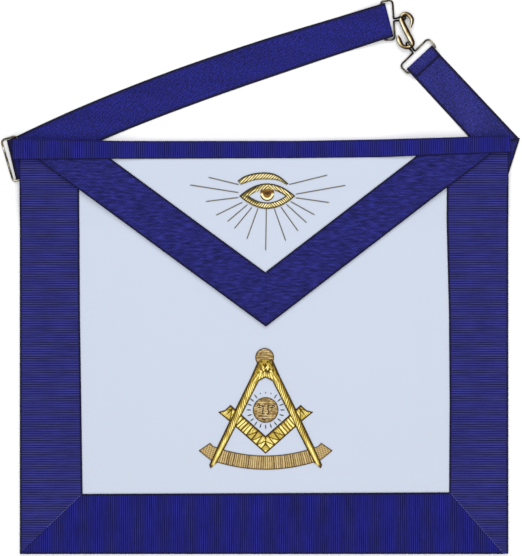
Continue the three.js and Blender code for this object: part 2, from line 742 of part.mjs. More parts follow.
// A padded form with rounded edges, its outline at its widest.
function padded(shape, relief) {
  const geometry = new THREE.ExtrudeGeometry(shape, {
    depth: relief - 2 * PAD_EDGE,
    curveSegments: CURVE_STEPS,
    bevelEnabled: true,
    bevelThickness: PAD_EDGE,
    bevelSize: PAD_EDGE,
    bevelOffset: -PAD_EDGE,
    bevelSegments: 1,
  });
  return geometry.translate(0, 0, PAD_EDGE);
}

// The room that a padded form takes up, with the seam gap all round, to cut from what crosses over it.
function roomFor(shape, relief) {
  const geometry = new THREE.ExtrudeGeometry(shape, {
    depth: relief + SEAM_GAP,
    curveSegments: CURVE_STEPS,
    bevelEnabled: true,
    bevelThickness: SEAM_GAP,
    bevelSize: SEAM_GAP,
    bevelSegments: 1,
  });
  return geometry.translate(0, 0, -SEAM_GAP);
}

function solidOf(geometry) {
  const merged = facingOut(positionsOnly(geometry));
  return new wasm.Manifold(new wasm.Mesh({
    numProp: 3,
    vertProperties: new Float32Array(merged.getAttribute('position').array),
    triVerts: new Uint32Array(merged.getIndex().array),
  }));
}

function geometryOf(solid) {
  const mesh = solid.getMesh();
  const geometry = new THREE.BufferGeometry();
  geometry.setAttribute('position', new THREE.BufferAttribute(new Float32Array(mesh.vertProperties), 3));
  geometry.setIndex(new THREE.BufferAttribute(new Uint32Array(mesh.triVerts), 1));
  return geometry;
}

function emblemPoint({ down, half }, side) {
  return new THREE.Vector2(EMBLEM_SHIFT + side * half * EMBLEM_SIZE, -EMBLEM_DROP - down * EMBLEM_SIZE);
}

// A closed outline from half outlines: down the right side and back up the left.
function mirroredShape(rows) {
  const right = rows.map((row) => emblemPoint(row, 1));
  const left = rows.filter((row) => row.half > 0).map((row) => emblemPoint(row, -1));
  return new THREE.Shape([...right, ...left.reverse()]);
}

function disc(centre, radius) {
  const shape = new THREE.Shape();
  const angles = stations(0, 2 * Math.PI, 2 * Math.PI / DISC_STEPS).slice(1);
  shape.setFromPoints(angles.map((angle) => (
    new THREE.Vector2(centre.x + radius * Math.cos(angle), centre.y + radius * Math.sin(angle)))));
  return shape;
}

function headShape() {
  return disc(emblemPoint({ down: 0, half: 0 }, 1), HEAD_RADIUS * EMBLEM_SIZE);
}

function squareShape() {
  const outer = SQUARE_OUTLINE.slice(0, -1);
  const innerPoint = emblemPoint(SQUARE_OUTLINE[SQUARE_OUTLINE.length - 1], 1);
  const right = outer.map((row) => emblemPoint(row, 1));
  const left = outer.slice(1).map((row) => emblemPoint(row, -1));
  return new THREE.Shape([...right, innerPoint, ...left.reverse()]);
}

function quadrantShape() {
  const { top, bottom, bend, reach, barb } = QUADRANT;
  const centre = top - bend;
  const arc = (radius) => stations(-reach, reach, reach / CURVE_STEPS).map((half) => (
    emblemPoint({ down: centre + Math.sqrt(radius * radius - half * half), half }, 1)));
  const topArc = arc(bend);
  topArc[0].y += barb * EMBLEM_SIZE;
  topArc[topArc.length - 1].y += barb * EMBLEM_SIZE;
  const bottomArc = arc(bend + bottom - top);
  const rightTip = emblemPoint(QUADRANT_TIP, 1);
  const leftTip = emblemPoint(QUADRANT_TIP, -1);
  return new THREE.Shape([...topArc, rightTip, ...bottomArc.reverse(), leftTip]);
}

function onPanel(geometry) {
  return laidOn(geometry, (x, y) => panelTop(x, y) + SEAM_GAP);
}

function onFlap(geometry) {
  return laidOn(geometry, (x, y) => flapTop(x, y) + SEAM_GAP);
}

function compassLegs() {
  const legs = solidOf(padded(mirroredShape([...LEG_OUTER, ...LEG_INNER]), LEG_RELIEF));
  const rooms = [
    roomFor(squareShape(), SQUARE_RELIEF),
    roomFor(quadrantShape(), QUADRANT_RELIEF),
    roomFor(headShape(), LEG_RELIEF),
  ];
  return onPanel(geometryOf(rooms.reduce((solid, room) => solid.subtract(solidOf(room)), legs)));
}

function sunShape() {
  return disc(emblemPoint({ down: SUN.down, half: 0 }, 1), SUN.radius * EMBLEM_SIZE);
}

function eyePoint(x, y) {
  return new THREE.Vector2(EYE_SHIFT + x * EYE_SIZE, -EYE_DROP + y * EYE_SIZE);
}

// An almond of two arcs. It is drawn from left to right over its top where way is 1, from right to left at -1.
function almond(PathClass, way, { half, top, bottom }) {
  const [from, to] = [eyePoint(-way * half, 0), eyePoint(way * half, 0)];
  const [upper, lower] = [eyePoint(0, 2 * top), eyePoint(0, -2 * bottom)];
  const path = new PathClass();
  path.moveTo(from.x, from.y);
  path.quadraticCurveTo(upper.x, upper.y, to.x, to.y);
  path.quadraticCurveTo(lower.x, lower.y, from.x, from.y);
  return path;
}

function eyeLids() {
  const shape = almond(THREE.Shape, 1, LIDS.outer);
  shape.holes.push(almond(THREE.Path, -1, LIDS.inner));
  return onFlap(padded(shape, LID_RELIEF));
}

function eyeIris() {
  const centre = eyePoint(0, IRIS.up);
  const gap = (SEAM_GAP + PAD_EDGE) / EYE_SIZE;
  const { half, top, bottom } = LIDS.inner;
  const white = almond(THREE.Shape, 1, { half: half - 2 * gap, top: top - gap, bottom: bottom - gap });
  const extent = { depth: LID_RELIEF, curveSegments: CURVE_STEPS, bevelEnabled: false };
  const room = new THREE.ExtrudeGeometry(white, extent);
  const iris = solidOf(padded(disc(centre, IRIS.radius * EYE_SIZE), IRIS_RELIEF));
  return onFlap(geometryOf(iris.intersect(solidOf(room))));
}

function eyeBrow() {
  const { leftTop, leftLow, rightTop, rightLow, middle } = BROW;
  const topControl = eyePoint(middle.x, 2 * middle.top - (leftTop.y + rightTop.y) / 2);
  const lowControl = eyePoint(middle.x, 2 * middle.low - (leftLow.y + rightLow.y) / 2);
  const [a, b, c, d] = [leftTop, rightTop, rightLow, leftLow].map(({ x, y }) => eyePoint(x, y));
  const shape = new THREE.Shape();
  shape.moveTo(a.x, a.y);
  shape.quadraticCurveTo(topControl.x, topControl.y, b.x, b.y);
  shape.lineTo(c.x, c.y);
  shape.quadraticCurveTo(lowControl.x, lowControl.y, d.x, d.y);
  shape.closePath();
  return onFlap(padded(shape, BROW_RELIEF));
}

// The belt's chain of places: the short strap carries its ring, the ring the hook, the hook the other ring,
// and the long strap spans from there to its own corner.
const rightStart = new THREE.Vector3(HALF + RIGHT_FOLD.outside, -RIGHT_FOLD.down, 0);
const leftStart = new THREE.Vector3(-HALF - LEFT_FOLD.outside, -LEFT_FOLD.down, 0);
const shortEnd = rightStart.clone().addScaledVector(direction(SHORT_BELT_HEADING), SHORT_BELT_LENGTH);
const shortOut = direction(SHORT_RING.turn);
const shortPivot = shortEnd.clone().addScaledVector(direction(SHORT_BELT_HEADING), -SHORT_RING.back);
const shortAlong = new THREE.Vector3(-shortOut.y, shortOut.x, 0).multiplyScalar(SHORT_RING.hand);
const hookInEye = RING_DEPTH + HOOK_SEAT_IN_EYE * EYE_REACH;
const hookCentre = shortPivot.clone().addScaledVector(shortOut, hookInEye)
  .addScaledVector(shortAlong, -SHORT_RING.lean * HOOK_SEAT_IN_EYE)
  .sub(new THREE.Vector3(HOOK_LOWER_SEAT.x, HOOK_LOWER_SEAT.y, 0).multiplyScalar(HOOK_LENGTH))
  .setZ(HOOK_HEIGHT);
const longOut = direction(LONG_RING.turn);
const longAlong = new THREE.Vector3(-longOut.y, longOut.x, 0).multiplyScalar(LONG_RING.hand);
const longPivot = hookCentre.clone()
  .add(new THREE.Vector3(HOOK_TOP_SEAT.x, HOOK_TOP_SEAT.y, 0).multiplyScalar(HOOK_LENGTH))
  .addScaledVector(longOut, -hookInEye)
  .addScaledVector(longAlong, -LONG_RING.lean * HOOK_SEAT_IN_EYE)
  .setZ(0);
const longEnd = longPivot.clone().addScaledVector(direction(LONG_BELT_END_HEADING), LONG_RING.back)
  .addScaledVector(longAlong, -LONG_RING.shift);
const longRoute = beltRoute(leftStart, longEnd, LONG_BELT_RUN);
const shortRoute = beltRoute(rightStart, shortEnd, SHORT_BELT_RUN);

function beltLong() {
  return belt({ route: longRoute, rows: LONG_BELT_RUN, tailHeading: LEFT_TAIL_HEADING,
    insideGap: RING_INSIDE_GAP, hem: LONG_BELT_HEM, hemUnder: true, ringBack: LONG_RING.back });
}

function beltShort() {
  return belt({ route: shortRoute, rows: SHORT_BELT_RUN, tailHeading: RIGHT_TAIL_HEADING,
    insideGap: SEAM_GAP, hem: SHORT_BELT_HEM, hemUnder: false, ringBack: SHORT_RING.back });
}

function beltRing(pivot, out, ring) {
  const path = ringPath(RING_LENGTH, RING_DEPTH, ring);
  return ringGeometry(pivot, out, path, ring.hand, BAR_HEIGHT, RING_DEPTH, RING_STEPS);
}

// The adjuster holds the long strap's corner fold: its outer bar shows beside the fold.
function adjusterRing() {
  const { ahead } = cornerFold(longRoute, LEFT_TAIL_HEADING);
  const foldReach = (RING_INSIDE_GAP + WEBBING) / 2 + WEBBING / 2;
  const out = ahead.clone().applyAxisAngle(new THREE.Vector3(0, 0, 1), degToRad(ADJUSTER_TURN));
  const outerBar = leftStart.clone().addScaledVector(ahead, foldReach + ADJUSTER_REACH);
  const pivot = outerBar.addScaledVector(out, -ADJUSTER_DEPTH);
  const path = ringPath(ADJUSTER_LENGTH, ADJUSTER_DEPTH, null);
  return ringGeometry(pivot, out, path, 1, WIRE / 2, ADJUSTER_DEPTH, ADJUSTER_STEPS);
}

// The assembly, set with the middle of its outline over the origin and its lowest points at zero.
const pieces = [
  ['apron_panel', 'leather', apronPanel()],
  ['border_left', 'ribbon', sideBorder('left')],
  ['border_right', 'ribbon', sideBorder('right')],
  ['border_bottom', 'ribbon', bottomBorder()],
  ['flap_panel', 'leather', flapPanel()],
  ['flap_ribbon_left', 'ribbon', flapRibbon('left')],
  ['flap_ribbon_right', 'ribbon', flapRibbon('right')],
  ['top_band', 'ribbon', topBand()],
  ['belt_long', 'webbing', beltLong()],
  ['belt_short', 'webbing', beltShort()],
  ['adjuster_ring', 'gilt', adjusterRing()],
  ['ring_long_belt', 'gilt', beltRing(longPivot, longOut, LONG_RING)],
  ['ring_short_belt', 'gilt', beltRing(shortPivot, shortOut, SHORT_RING)],
  ['snake_hook', 'gilt', snakeHook(hookCentre)],
  ['eye_brow', 'bullion', eyeBrow()],
  ['eye_lids', 'bullion', eyeLids()],
  ['eye_iris', 'bullion', eyeIris()],
  ['compass_head', 'bullion', onPanel(padded(headShape(), HEAD_RELIEF))],
  ['compass_legs', 'bullion', compassLegs()],
  ['square', 'bullion', onPanel(padded(squareShape(), SQUARE_RELIEF))],
  ['quadrant', 'bullion', onPanel(padded(quadrantShape(), QUADRANT_RELIEF))],
  ['sun', 'bullion', onPanel(padded(sunShape(), SUN_RELIEF))],
];

const apron = new THREE.Group();
for (const [name, finish, geometry] of pieces) {
  geometry.computeVertexNormals();
  const mesh = new THREE.Mesh(geometry, new THREE.MeshStandardMaterial(FINISHES[finish]));
  mesh.name = name;
  apron.add(mesh);
}
const box = new THREE.Box3().setFromObject(apron);
const middle = box.getCenter(new THREE.Vector3());
apron.position.set(-middle.x, -middle.y, -box.min.z);

const group = new THREE.Group();
group.add(apron);

export default group;
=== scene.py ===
"""A ceremonial leather apron that lies flat with its front up, seen from straight above.

Each piece of cloth is a closed sheet with its ribs or weave, the embroidery is a relief of padded metal
thread, and the belt's wire and hook are swept forms. Lengths are in metres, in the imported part's frame, and
shares are of a named size. Flat outlines are worked out from the apron's centre line and its top line.
"""

import json
import math

import bpy
import numpy as np
from bpy.props import FloatProperty, FloatVectorProperty, PointerProperty
from bpy.types import Operator, Panel, PropertyGroup
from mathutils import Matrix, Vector

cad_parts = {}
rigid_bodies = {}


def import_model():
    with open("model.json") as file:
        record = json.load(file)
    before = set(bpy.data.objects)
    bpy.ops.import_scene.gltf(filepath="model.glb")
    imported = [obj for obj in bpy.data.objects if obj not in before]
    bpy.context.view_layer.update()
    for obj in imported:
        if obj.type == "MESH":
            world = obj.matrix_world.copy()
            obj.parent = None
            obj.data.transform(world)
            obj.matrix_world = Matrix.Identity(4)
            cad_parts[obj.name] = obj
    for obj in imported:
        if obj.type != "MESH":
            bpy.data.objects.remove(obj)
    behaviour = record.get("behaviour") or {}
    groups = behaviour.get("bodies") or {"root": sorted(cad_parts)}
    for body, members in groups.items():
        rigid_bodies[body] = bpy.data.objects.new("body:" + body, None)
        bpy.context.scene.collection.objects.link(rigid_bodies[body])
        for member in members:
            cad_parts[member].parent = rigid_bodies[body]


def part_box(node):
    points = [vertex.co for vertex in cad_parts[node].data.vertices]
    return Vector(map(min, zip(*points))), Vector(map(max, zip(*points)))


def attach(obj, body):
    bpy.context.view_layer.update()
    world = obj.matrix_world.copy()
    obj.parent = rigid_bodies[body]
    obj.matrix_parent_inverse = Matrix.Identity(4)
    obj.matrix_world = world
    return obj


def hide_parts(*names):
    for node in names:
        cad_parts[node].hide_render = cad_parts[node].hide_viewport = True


bl_info = {
    "name": "Ceremonial apron",
    "version": (1, 0, 0),
    "blender": (4, 5, 0),
    "location": "View3D > Sidebar > Apron",
    "description": "Builds the cloth, embroidery and belt of a ceremonial apron round its packed part",
    "category": "Add Mesh",
}

# Frame
for leftover in list(bpy.data.objects):
    bpy.data.objects.remove(leftover)
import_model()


# Settings
def length(label, description, default):
    return FloatProperty(name=label, description=description, default=default, unit="LENGTH", precision=5)


def angle(label, description, degrees):
    return FloatProperty(name=label, description=description, default=math.radians(degrees), unit="ROTATION")


def amount(label, description, default):
    return FloatProperty(name=label, description=description, default=default, min=0)


def colour(label, description, default):
    return FloatVectorProperty(
        name=label, description=description, default=default, size=3, min=0, max=1, subtype="COLOR"
    )


class ApronSizes(PropertyGroup):
    """Sizes of the panel, the borders, the flap and the binding."""

    width: length("Width", "Width of the panel", 0.4064)
    height: length("Height", "Height of the panel below its top line", 0.344)
    leather: length("Leather", "Thickness of the panel's leather", 0.0012)
    flap_leather: length("Flap leather", "Thickness of the flap's leather", 0.001)
    ribbon: length("Ribbon", "Thickness of the ribbons", 0.001)
    gap: length("Gap", "Space between two layers", 0.00025)
    seam: length("Seam", "Space between two ribbons that meet", 0.00006)
    border: length("Border", "Width of the border ribbon", 0.0508)
    mitre_start: length("Mitre start", "Distance of the right mitre's foot from the corner", 0.004)
    band: length("Binding", "Width of the binding's front and back", 0.0152)
    band_round: length("Binding round", "Radius of the binding's fold", 0.0015)
    band_left: length("Left overhang", "Reach of the binding past the left edge", 0.0048)
    band_right: length("Right overhang", "Reach of the binding past the right edge", 0.001)
    band_slant: length("Right slant", "Slant of the binding's right end", 0.0025)
    flap_depth: length("Flap depth", "Depth of the flap's point below the top line", 0.1548)
    flap_shift: length("Flap shift", "Sideways place of the flap's point", 0.0015)
    flap_left_drop: length("Left drop", "Fall of the flap's edge at the left side", 0.0045)
    flap_right_rise: length("Right rise", "Rise of the flap's edge at the right side", 0.0004)
    flap_ribbon: length("Flap ribbon", "Width of the flap's ribbon", 0.0363)
    rib: length("Rib", "Distance from rib to rib of the border ribbon", 0.00195)
    fine_rib: length("Fine rib", "Distance from rib to rib of the bottom ribbon and the binding", 0.0018)
    rib_height: length("Rib height", "Depth of the grooves between ribs", 0.00022)
    edge_round: length("Edge round", "Rounding of a ribbon's edge", 0.0004)
    mitre_stitch: length("Mitre stitch", "Distance from stitch to stitch along the mitres", 0.0020)


class DrapeSizes(PropertyGroup):
    """How the layers come down beside what lies under them."""

    reach: length("Reach", "Distance over which a layer comes down", 0.034)
    corner_depth: length("Corner depth", "Depth of the raised corner", 0.044)
    corner_inside: length("Corner inside", "Width of the raised corner", 0.074)
    ring_reach: length("Ring reach", "Distance over which the adjuster's lift fades", 0.028)
    ring_hold: length("Ring hold", "Width that the adjuster lifts in full", 0.01)


class BeltSizes(PropertyGroup):
    """Sizes of the webbing, the wire and the hook."""

    webbing: length("Webbing", "Width of the webbing", 0.0326)
    thickness: length("Thickness", "Thickness of the webbing", 0.001)
    tail: length("Sewn end", "Length of the webbing behind the panel", 0.062)
    skew_reach: length("Skew reach", "Distance over which the weft turns square to the run", 0.052)
    long_hem: length("Long hem", "Hem of the long strap", 0.016)
    short_hem: length("Short hem", "Hem of the short strap", 0.009)
    short_length: length("Short strap", "Length of the short strap from fold to ring", 0.1120)
    short_heading: angle("Short heading", "Direction of the short strap", 132.95)
    long_end: angle("Long end heading", "Direction of the long strap's free end", 15)
    left_tail: angle("Left tail", "Direction of the long strap's sewn end", 0)
    right_tail: angle("Right tail", "Direction of the short strap's sewn end", 191.4)
    left_out: length("Left fold out", "Reach of the left fold past the panel", 0.0051)
    left_down: length("Left fold down", "Middle of the left fold below the top line", 0.0155)
    right_out: length("Right fold out", "Reach of the right fold past the panel", 0.0035)
    right_down: length("Right fold down", "Middle of the right fold below the top line", 0.0140)
    wire: length("Wire", "Thickness of the wire", 0.0016)
    ring_length: length("Ring length", "Length of a ring between its short sides' middles", 0.0325)
    ring_depth: length("Ring depth", "Distance between a ring's bars", 0.0098)
    ring_round: length("Ring round", "Radius of a ring's corners", 0.0026)
    ring_slack: length("Ring slack", "Play of the webbing in its ring", 0.0015)
    adjuster_length: length("Adjuster length", "Length between the adjuster's short sides' middles", 0.0358)
    adjuster_depth: length("Adjuster depth", "Distance between the adjuster's bars", 0.0134)
    adjuster_reach: length("Adjuster reach", "Reach of its outer bar past the fold", 0.0036)
    adjuster_turn: angle("Adjuster turn", "Turn of the adjuster against the fold", 3)
    eye_reach: length("Eye reach", "Reach of a ring's hairpin eye", 0.0099)
    eye_half: length("Eye half", "Half of the hairpin eye's opening at its bar", 0.0024)
    eye_lean: length("Eye lean", "Sideways lean of the hairpin eye", 0.0009)
    hook: length("Hook", "Length of the snake hook", 0.0305)
    hook_thickness: length("Hook thickness", "Thickness of the snake hook", 0.0033)


class EmbroiderySizes(PropertyGroup):
    """Sizes of the raised embroidery."""

    emblem: length("Emblem", "Unit of the emblem's outlines", 0.102)
    emblem_drop: length("Emblem drop", "Depth of the emblem's head below the top line", 0.1783)
    emblem_shift: length("Emblem shift", "Sideways place of the emblem", 0.0013)
    eye: length("Eye", "Unit of the eye's outlines", 0.0467)
    eye_drop: length("Eye drop", "Depth of the eye's middle below the top line", 0.0461)
    eye_shift: length("Eye shift", "Sideways place of the eye", 0.0026)
    legs: length("Legs relief", "Height of the compass's legs", 0.0024)
    head: length("Head relief", "Height of the compass's head", 0.0021)
    square: length("Square relief", "Height of the square", 0.0012)
    quadrant: length("Quadrant relief", "Height of the quadrant", 0.001)
    sun: length("Sun relief", "Height of the sun", 0.0015)
    lids: length("Lids relief", "Height of the eye's lids", 0.0016)
    iris: length("Iris relief", "Height of the iris", 0.0012)
    thread: length("Thread", "Distance from laid thread to laid thread", 0.0014)
    band_thread: length("Band thread", "Distance from thread to thread across the quadrant", 0.0017)
    bullion: length("Bullion", "Distance from coil to coil of the bullion", 0.0017)
    coil: length("Coil", "Depth between two coils", 0.00030)
    stitch: length("Stitch", "Width of a single stitched line", 0.0009)
    spacing: length("Mesh spacing", "Distance between the points of a relief", 0.00036)


class ApronColours(PropertyGroup):
    """Colours of the materials."""

    leather: colour("Leather", "White leather", (0.530, 0.582, 0.689))
    # The four ribbon colours are copies of one blue ribbon, and the two webbing colours copies of one
    # webbing; they differ by painted sheen that the direction of their ribs catches.
    ribbon: colour("Ribbon", "Blue ribbon of the sides", (0.0185, 0.0190, 0.136))
    ribbon_foot: colour("Foot ribbon", "Blue ribbon of the bottom", (0.0070, 0.0076, 0.130))
    ribbon_band: colour("Binding", "Blue ribbon of the binding", (0.0094, 0.0100, 0.147))
    ribbon_flap: colour("Flap ribbon", "Blue ribbon of the flap", (0.0128, 0.0136, 0.129))
    webbing: colour("Long webbing", "Blue webbing of the long strap", (0.0078, 0.0086, 0.130))
    webbing_short: colour("Short webbing", "Blue webbing of the short strap", (0.0155, 0.0165, 0.138))
    ribbon_stitch: colour("Ribbon stitch", "Thread of the mitres' stitches", (0.105, 0.105, 0.31))
    # Painted shade along the edges of the ribbons and the webbing, and at the straps' folds and hems.
    ribbon_edge_shade: colour("Ribbon edge", "Dark line along a ribbon's edge", (0.0050, 0.0042, 0.029))
    # The dark gilt and wire colours are painted shade on the flanks, and the light ones painted highlights
    # where the metal faces the light; gilt and wire are the metals' own colours.
    gilt: colour("Gilt", "Gilt casting", (0.40, 0.30, 0.14))
    gilt_painted_highlight: colour("Gilt highlight", "Polished ridge of the casting", (1.0, 0.93, 0.68))
    gilt_painted_shade: colour("Dark gilt", "Hollows of the casting", (0.045, 0.024, 0.008))
    wire: colour("Wire", "Gilt wire", (0.22, 0.185, 0.11))
    wire_painted_highlight: colour("Wire highlight", "Polished ridge of the wire", (0.92, 0.88, 0.74))
    wire_painted_shade: colour("Dark wire", "Sides of the wire", (0.020, 0.016, 0.011))
    gold: colour("Gold thread", "Bright bullion", (0.41, 0.285, 0.030))
    gold_light: colour("Gold highlight", "Lightest bullion", (0.92, 0.80, 0.30))
    gold_dark: colour("Gold shadow", "Hollows of the bullion", (0.060, 0.028, 0.002))
    tan: colour("Tan thread", "Laid gold thread", (0.28, 0.182, 0.060))
    tan_light: colour("Tan highlight", "Lightest laid thread", (0.60, 0.46, 0.22))
    tan_dark: colour("Tan shadow", "Hollows of the laid thread", (0.070, 0.036, 0.010))
    khaki: colour("Khaki thread", "Gold thread of the eye", (0.33, 0.245, 0.055))
    khaki_light: colour("Khaki highlight", "Lightest thread of the eye", (0.94, 0.83, 0.48))
    khaki_dark: colour("Khaki shadow", "Hollows of the eye's thread", (0.035, 0.026, 0.006))
    iris: colour("Iris", "Brown gold thread of the iris", (0.36, 0.19, 0.022))
    iris_dark: colour("Iris shadow", "Hollows of the iris's thread", (0.045, 0.016, 0.003))
    ray: colour("Ray", "Thread of the rays", (0.145, 0.13, 0.095))
    sun_ray: colour("Sun ray", "Thread of the sun's rays", (0.032, 0.028, 0.028))
    sun_face: colour("Sun face", "Thread of the sun's face", (0.030, 0.015, 0.006))
    floor: colour("Floor", "Plain pale floor", (0.93, 0.93, 0.93))


class StageSettings(PropertyGroup):
    """Camera and light."""

    lens: amount("Lens", "Focal length in millimetres", 200)
    view: length("View", "Length that the picture's long side shows", 0.46259)
    aim_x: length("Aim X", "Camera's place across", -0.0004)
    aim_y: length("Aim Y", "Camera's place along", -0.0006)
    world: amount("Sky", "Strength of the even light", 0.28)
    top: amount("Top", "Power of the large light overhead in watts", 27)
    key: amount("Key", "Power of the light beyond the belt in watts", 12)
    fill: amount("Fill", "Power of the light at the bottom edge in watts", 6)


def settings(name):
    return getattr(bpy.context.scene, name)


# Tables
SIGNS = {"left": -1, "right": 1}
# Edges of the binding: across as a share of the panel's width, the others of the binding's width.
BAND_EDGES = {
    "across": (0, 0.2, 0.57, 0.75, 0.87, 1),
    "rise": (0.09, -0.02, -0.01, 0.08, 0.16, 0.29),
    "drop": (1.06, 1.01, 0.96, 0.91, 0.78, 0.67),
}
# Widths of the side borders: down as a share of the panel's height, the others of the border's width.
SIDE_WIDTHS = {
    "down": (0.19, 0.41, 0.63, 0.85),
    "left": (0.976, 0.984, 1.006, 1.028),
    "right": (1.012, 0.973, 0.961, 0.97),
}
BOTTOM_WIDTHS = {"left": 0.986, "right": 1.012}
# Bow of a strap as a share of the straight line between its ends, its squeeze to the ring's width,
# and the lead of its left edge at the ring as a share of its width.
LONG_RUN = {
    "along": (0, 0.15, 0.3, 0.46, 0.7, 0.85, 1),
    "bow": (0, 0.0126, 0.0200, 0.0214, 0.0151, 0.0087, 0),
    "squeeze": (0, 0, 0, 0, 0.25, 0.7, 1),
    "end_skew": 0.045,
}
SHORT_RUN = {"along": (0, 0.5, 1), "bow": (0, 0, 0), "squeeze": (0.75, 0.85, 1), "end_skew": 0}
# Hairpin eye: out as a share of its reach, side of its half opening, up from lowest to highest.
EYE_PATH = {
    "out": (0.12, 0.26, 0.45, 0.68, 0.9, 1, 0.9, 0.68, 0.45, 0.26, 0.12),
    "side": (0.40, 0.38, 0.48, 0.58, 0.45, 0, -0.45, -0.58, -0.48, -0.38, -0.40),
    "up": (0.40, 0.62, 0.92, 1, 0.85, 0.5, 0.14, 0, 0, 0.06, 0.14),
}
# Half of the hairpin's mouth at the bar, as a share of its half opening.
EYE_MOUTH = 0.60
# Centre line of the hook: x, y and wide as shares of its length, deep of its thickness.
HOOK_FORM = {
    "x": (0.106, 0.145, 0.15, 0.095, 0.014, -0.068, -0.136, -0.15, -0.108, 0,
          0.123, 0.161, 0.136, 0.06, -0.03, -0.123, -0.177, -0.215, -0.237),
    "y": (0.082, 0.213, 0.314, 0.404, 0.455, 0.455, 0.396, 0.325, 0.215, -0.014,
          -0.245, -0.335, -0.409, -0.447, -0.447, -0.395, -0.314, -0.218, -0.123),
    "wide": (0.05, 0.094, 0.112, 0.118, 0.12, 0.12, 0.12, 0.132, 0.152, 0.162,
             0.156, 0.136, 0.116, 0.106, 0.106, 0.118, 0.146, 0.134, 0.05),
    "deep": (0.3, 0.66, 0.8, 0.9, 0.94, 0.94, 0.94, 0.94, 1, 1,
             1, 0.94, 0.92, 0.9, 0.9, 0.9, 0.9, 0.8, 0.35),
}
HOOK_TOP_SEAT = (-0.145, 0.333)
HOOK_LOWER_SEAT = (0.055, -0.445)
HOOK_SEAT_IN_EYE = 0.62
# Rings: turn is the direction of the eye in degrees, back the inner bar's place in the webbing's loop,
# hand the side on which the eye passes over the hook, shift the ring's slip along its bar.
LONG_RING = {"turn": 3.7, "back": 0.0042, "hand": 1, "shift": 0.0009}
SHORT_RING = {"turn": 134.3, "back": 0.0018, "hand": -1, "shift": 0}
# Outlines of the emblem as shares of its size, down from the head's centre and out from its middle.
HEAD_RADIUS = 0.076
HEAD_PLACE = (0.020, 0.008, -1)
LEG_OUTER = ((0.03, 0.055), (0.184, 0.122), (0.482, 0.268), (0.796, 0.418), (0.898, 0.461), (0.926, 0.45))
LEG_INNER = ((0.88, 0.395), (0.796, 0.351), (0.482, 0.191), (0.213, 0.055), (0.184, 0))
SQUARE_OUTER = ((0.806, 0), (0.53, 0.31), (0.466, 0.389), (0.45, 0.333), (0.407, 0.286))
SQUARE_INNER = (0.661, 0)
# Outlined diamond at the square's corner, and where the seam of its two arms ends above it.
DIAMOND = {"down": 0.768, "out": 0.041, "high": 0.037, "seam_end": 0.735}
QUADRANT = {"top": 0.821, "bottom": 0.936, "bend": 1.2235, "reach": 0.452, "barb": 0.018}
QUADRANT_TIP = (0.781, 0.547)
SUN = {"down": 0.449, "radius": 0.104}
# Outlines of the eye as shares of its size, from the middle of the lids.
LIDS_OUTER = {"half": 0.5, "top": 0.225, "bottom": 0.23}
LIDS_INNER = {"half": 0.325, "top": 0.115, "bottom": 0.116}
IRIS = {"up": 0.04, "radius": 0.125}
# Edges of the brow: across and up as shares of the eye's size.
BROW_TOP = ((-0.528, 0.271), (-0.431, 0.341), (-0.282, 0.394), (-0.075, 0.421), (0.103, 0.401),
            (0.223, 0.349), (0.381, 0.218))
BROW_LOW = ((0.342, 0.198), (0.223, 0.267), (0.103, 0.291), (-0.045, 0.296), (-0.223, 0.282),
            (-0.371, 0.237), (-0.470, 0.200))
# Rays from the eye: x and y of both ends as shares of the eye's size.
RAYS = (
    (-0.505, 0.203, -1.050, 0.335), (-0.505, 0.061, -1.379, 0.198), (-0.505, -0.025, -1.096, -0.098),
    (-0.437, -0.109, -0.914, -0.344), (-0.346, -0.149, -0.710, -0.456), (-0.266, -0.194, -0.585, -0.581),
    (-0.163, -0.215, -0.364, -0.769), (-0.015, -0.223, -0.027, -0.974), (0.122, -0.215, 0.331, -0.802),
    (0.240, -0.189, 0.552, -0.627), (0.340, -0.146, 0.703, -0.476), (0.415, -0.096, 0.848, -0.338),
    (0.498, -0.030, 1.108, -0.116), (0.502, 0.032, 1.400, 0.191), (0.384, 0.203, 1.074, 0.373),
)
SUN_RAYS = 20
# Directions in degrees of the rays that are only dots, and from where to where rays and dots reach.
SUN_DOTS = (72, 90, 108)
SUN_REACH = {"ray": (1.13, 1.50), "dot": (1.29, 1.42)}
# Painted highlights round the eyes, at the nose and at the lips: x, y and size as shares of the sun's radius.
SUN_HIGHLIGHTS = ((-0.36, 0.30, 0.14), (-0.56, 0.24, 0.12), (0.40, 0.30, 0.14), (0.60, 0.24, 0.12),
              (0.0, -0.30, 0.13), (-0.02, -0.56, 0.16), (-0.16, -0.54, 0.12))
# Stitched face of the sun as shares of its radius.
SUN_FACE = (
    ((-0.72, 0.30), (-0.60, 0.38), (-0.45, 0.40), (-0.30, 0.33), (-0.24, 0.24)),
    ((-0.70, 0.26), (-0.55, 0.20), (-0.40, 0.20), (-0.28, 0.22)),
    ((-0.50, 0.36), (-0.46, 0.22)),
    ((0.24, 0.28), (0.36, 0.38), (0.52, 0.40), (0.66, 0.32), (0.74, 0.24)),
    ((0.28, 0.22), (0.44, 0.20), (0.58, 0.20), (0.70, 0.24)),
    ((0.50, 0.36), (0.52, 0.22)),
    ((-0.22, 0.44), (-0.20, 0.10), (-0.24, -0.26), (-0.14, -0.34), (-0.04, -0.26)),
    ((0.22, 0.44), (0.18, 0.10), (0.24, -0.26), (0.14, -0.34), (0.04, -0.26)),
    ((-0.36, -0.52), (-0.20, -0.46), (-0.10, -0.50), (0.02, -0.46), (0.18, -0.54)),
    ((-0.30, -0.58), (-0.16, -0.72), (0.00, -0.72), (0.14, -0.60)),
)
# Direction of a compass leg, out and down, and the slant of the bullion that is wound round it.
LEG_WAY = (0.429, 0.903)
LEG_SLANT = (0.66, 0.75)
# How far in from its edge a raised piece still rises.
PAD_REACH = {
    "legs": 0.0032,
    "square": 0.0026,
    "quadrant": 0.0016,
    "lids": 0.0026,
    "brow": 0.0022,
    "iris": 0.0030,
}
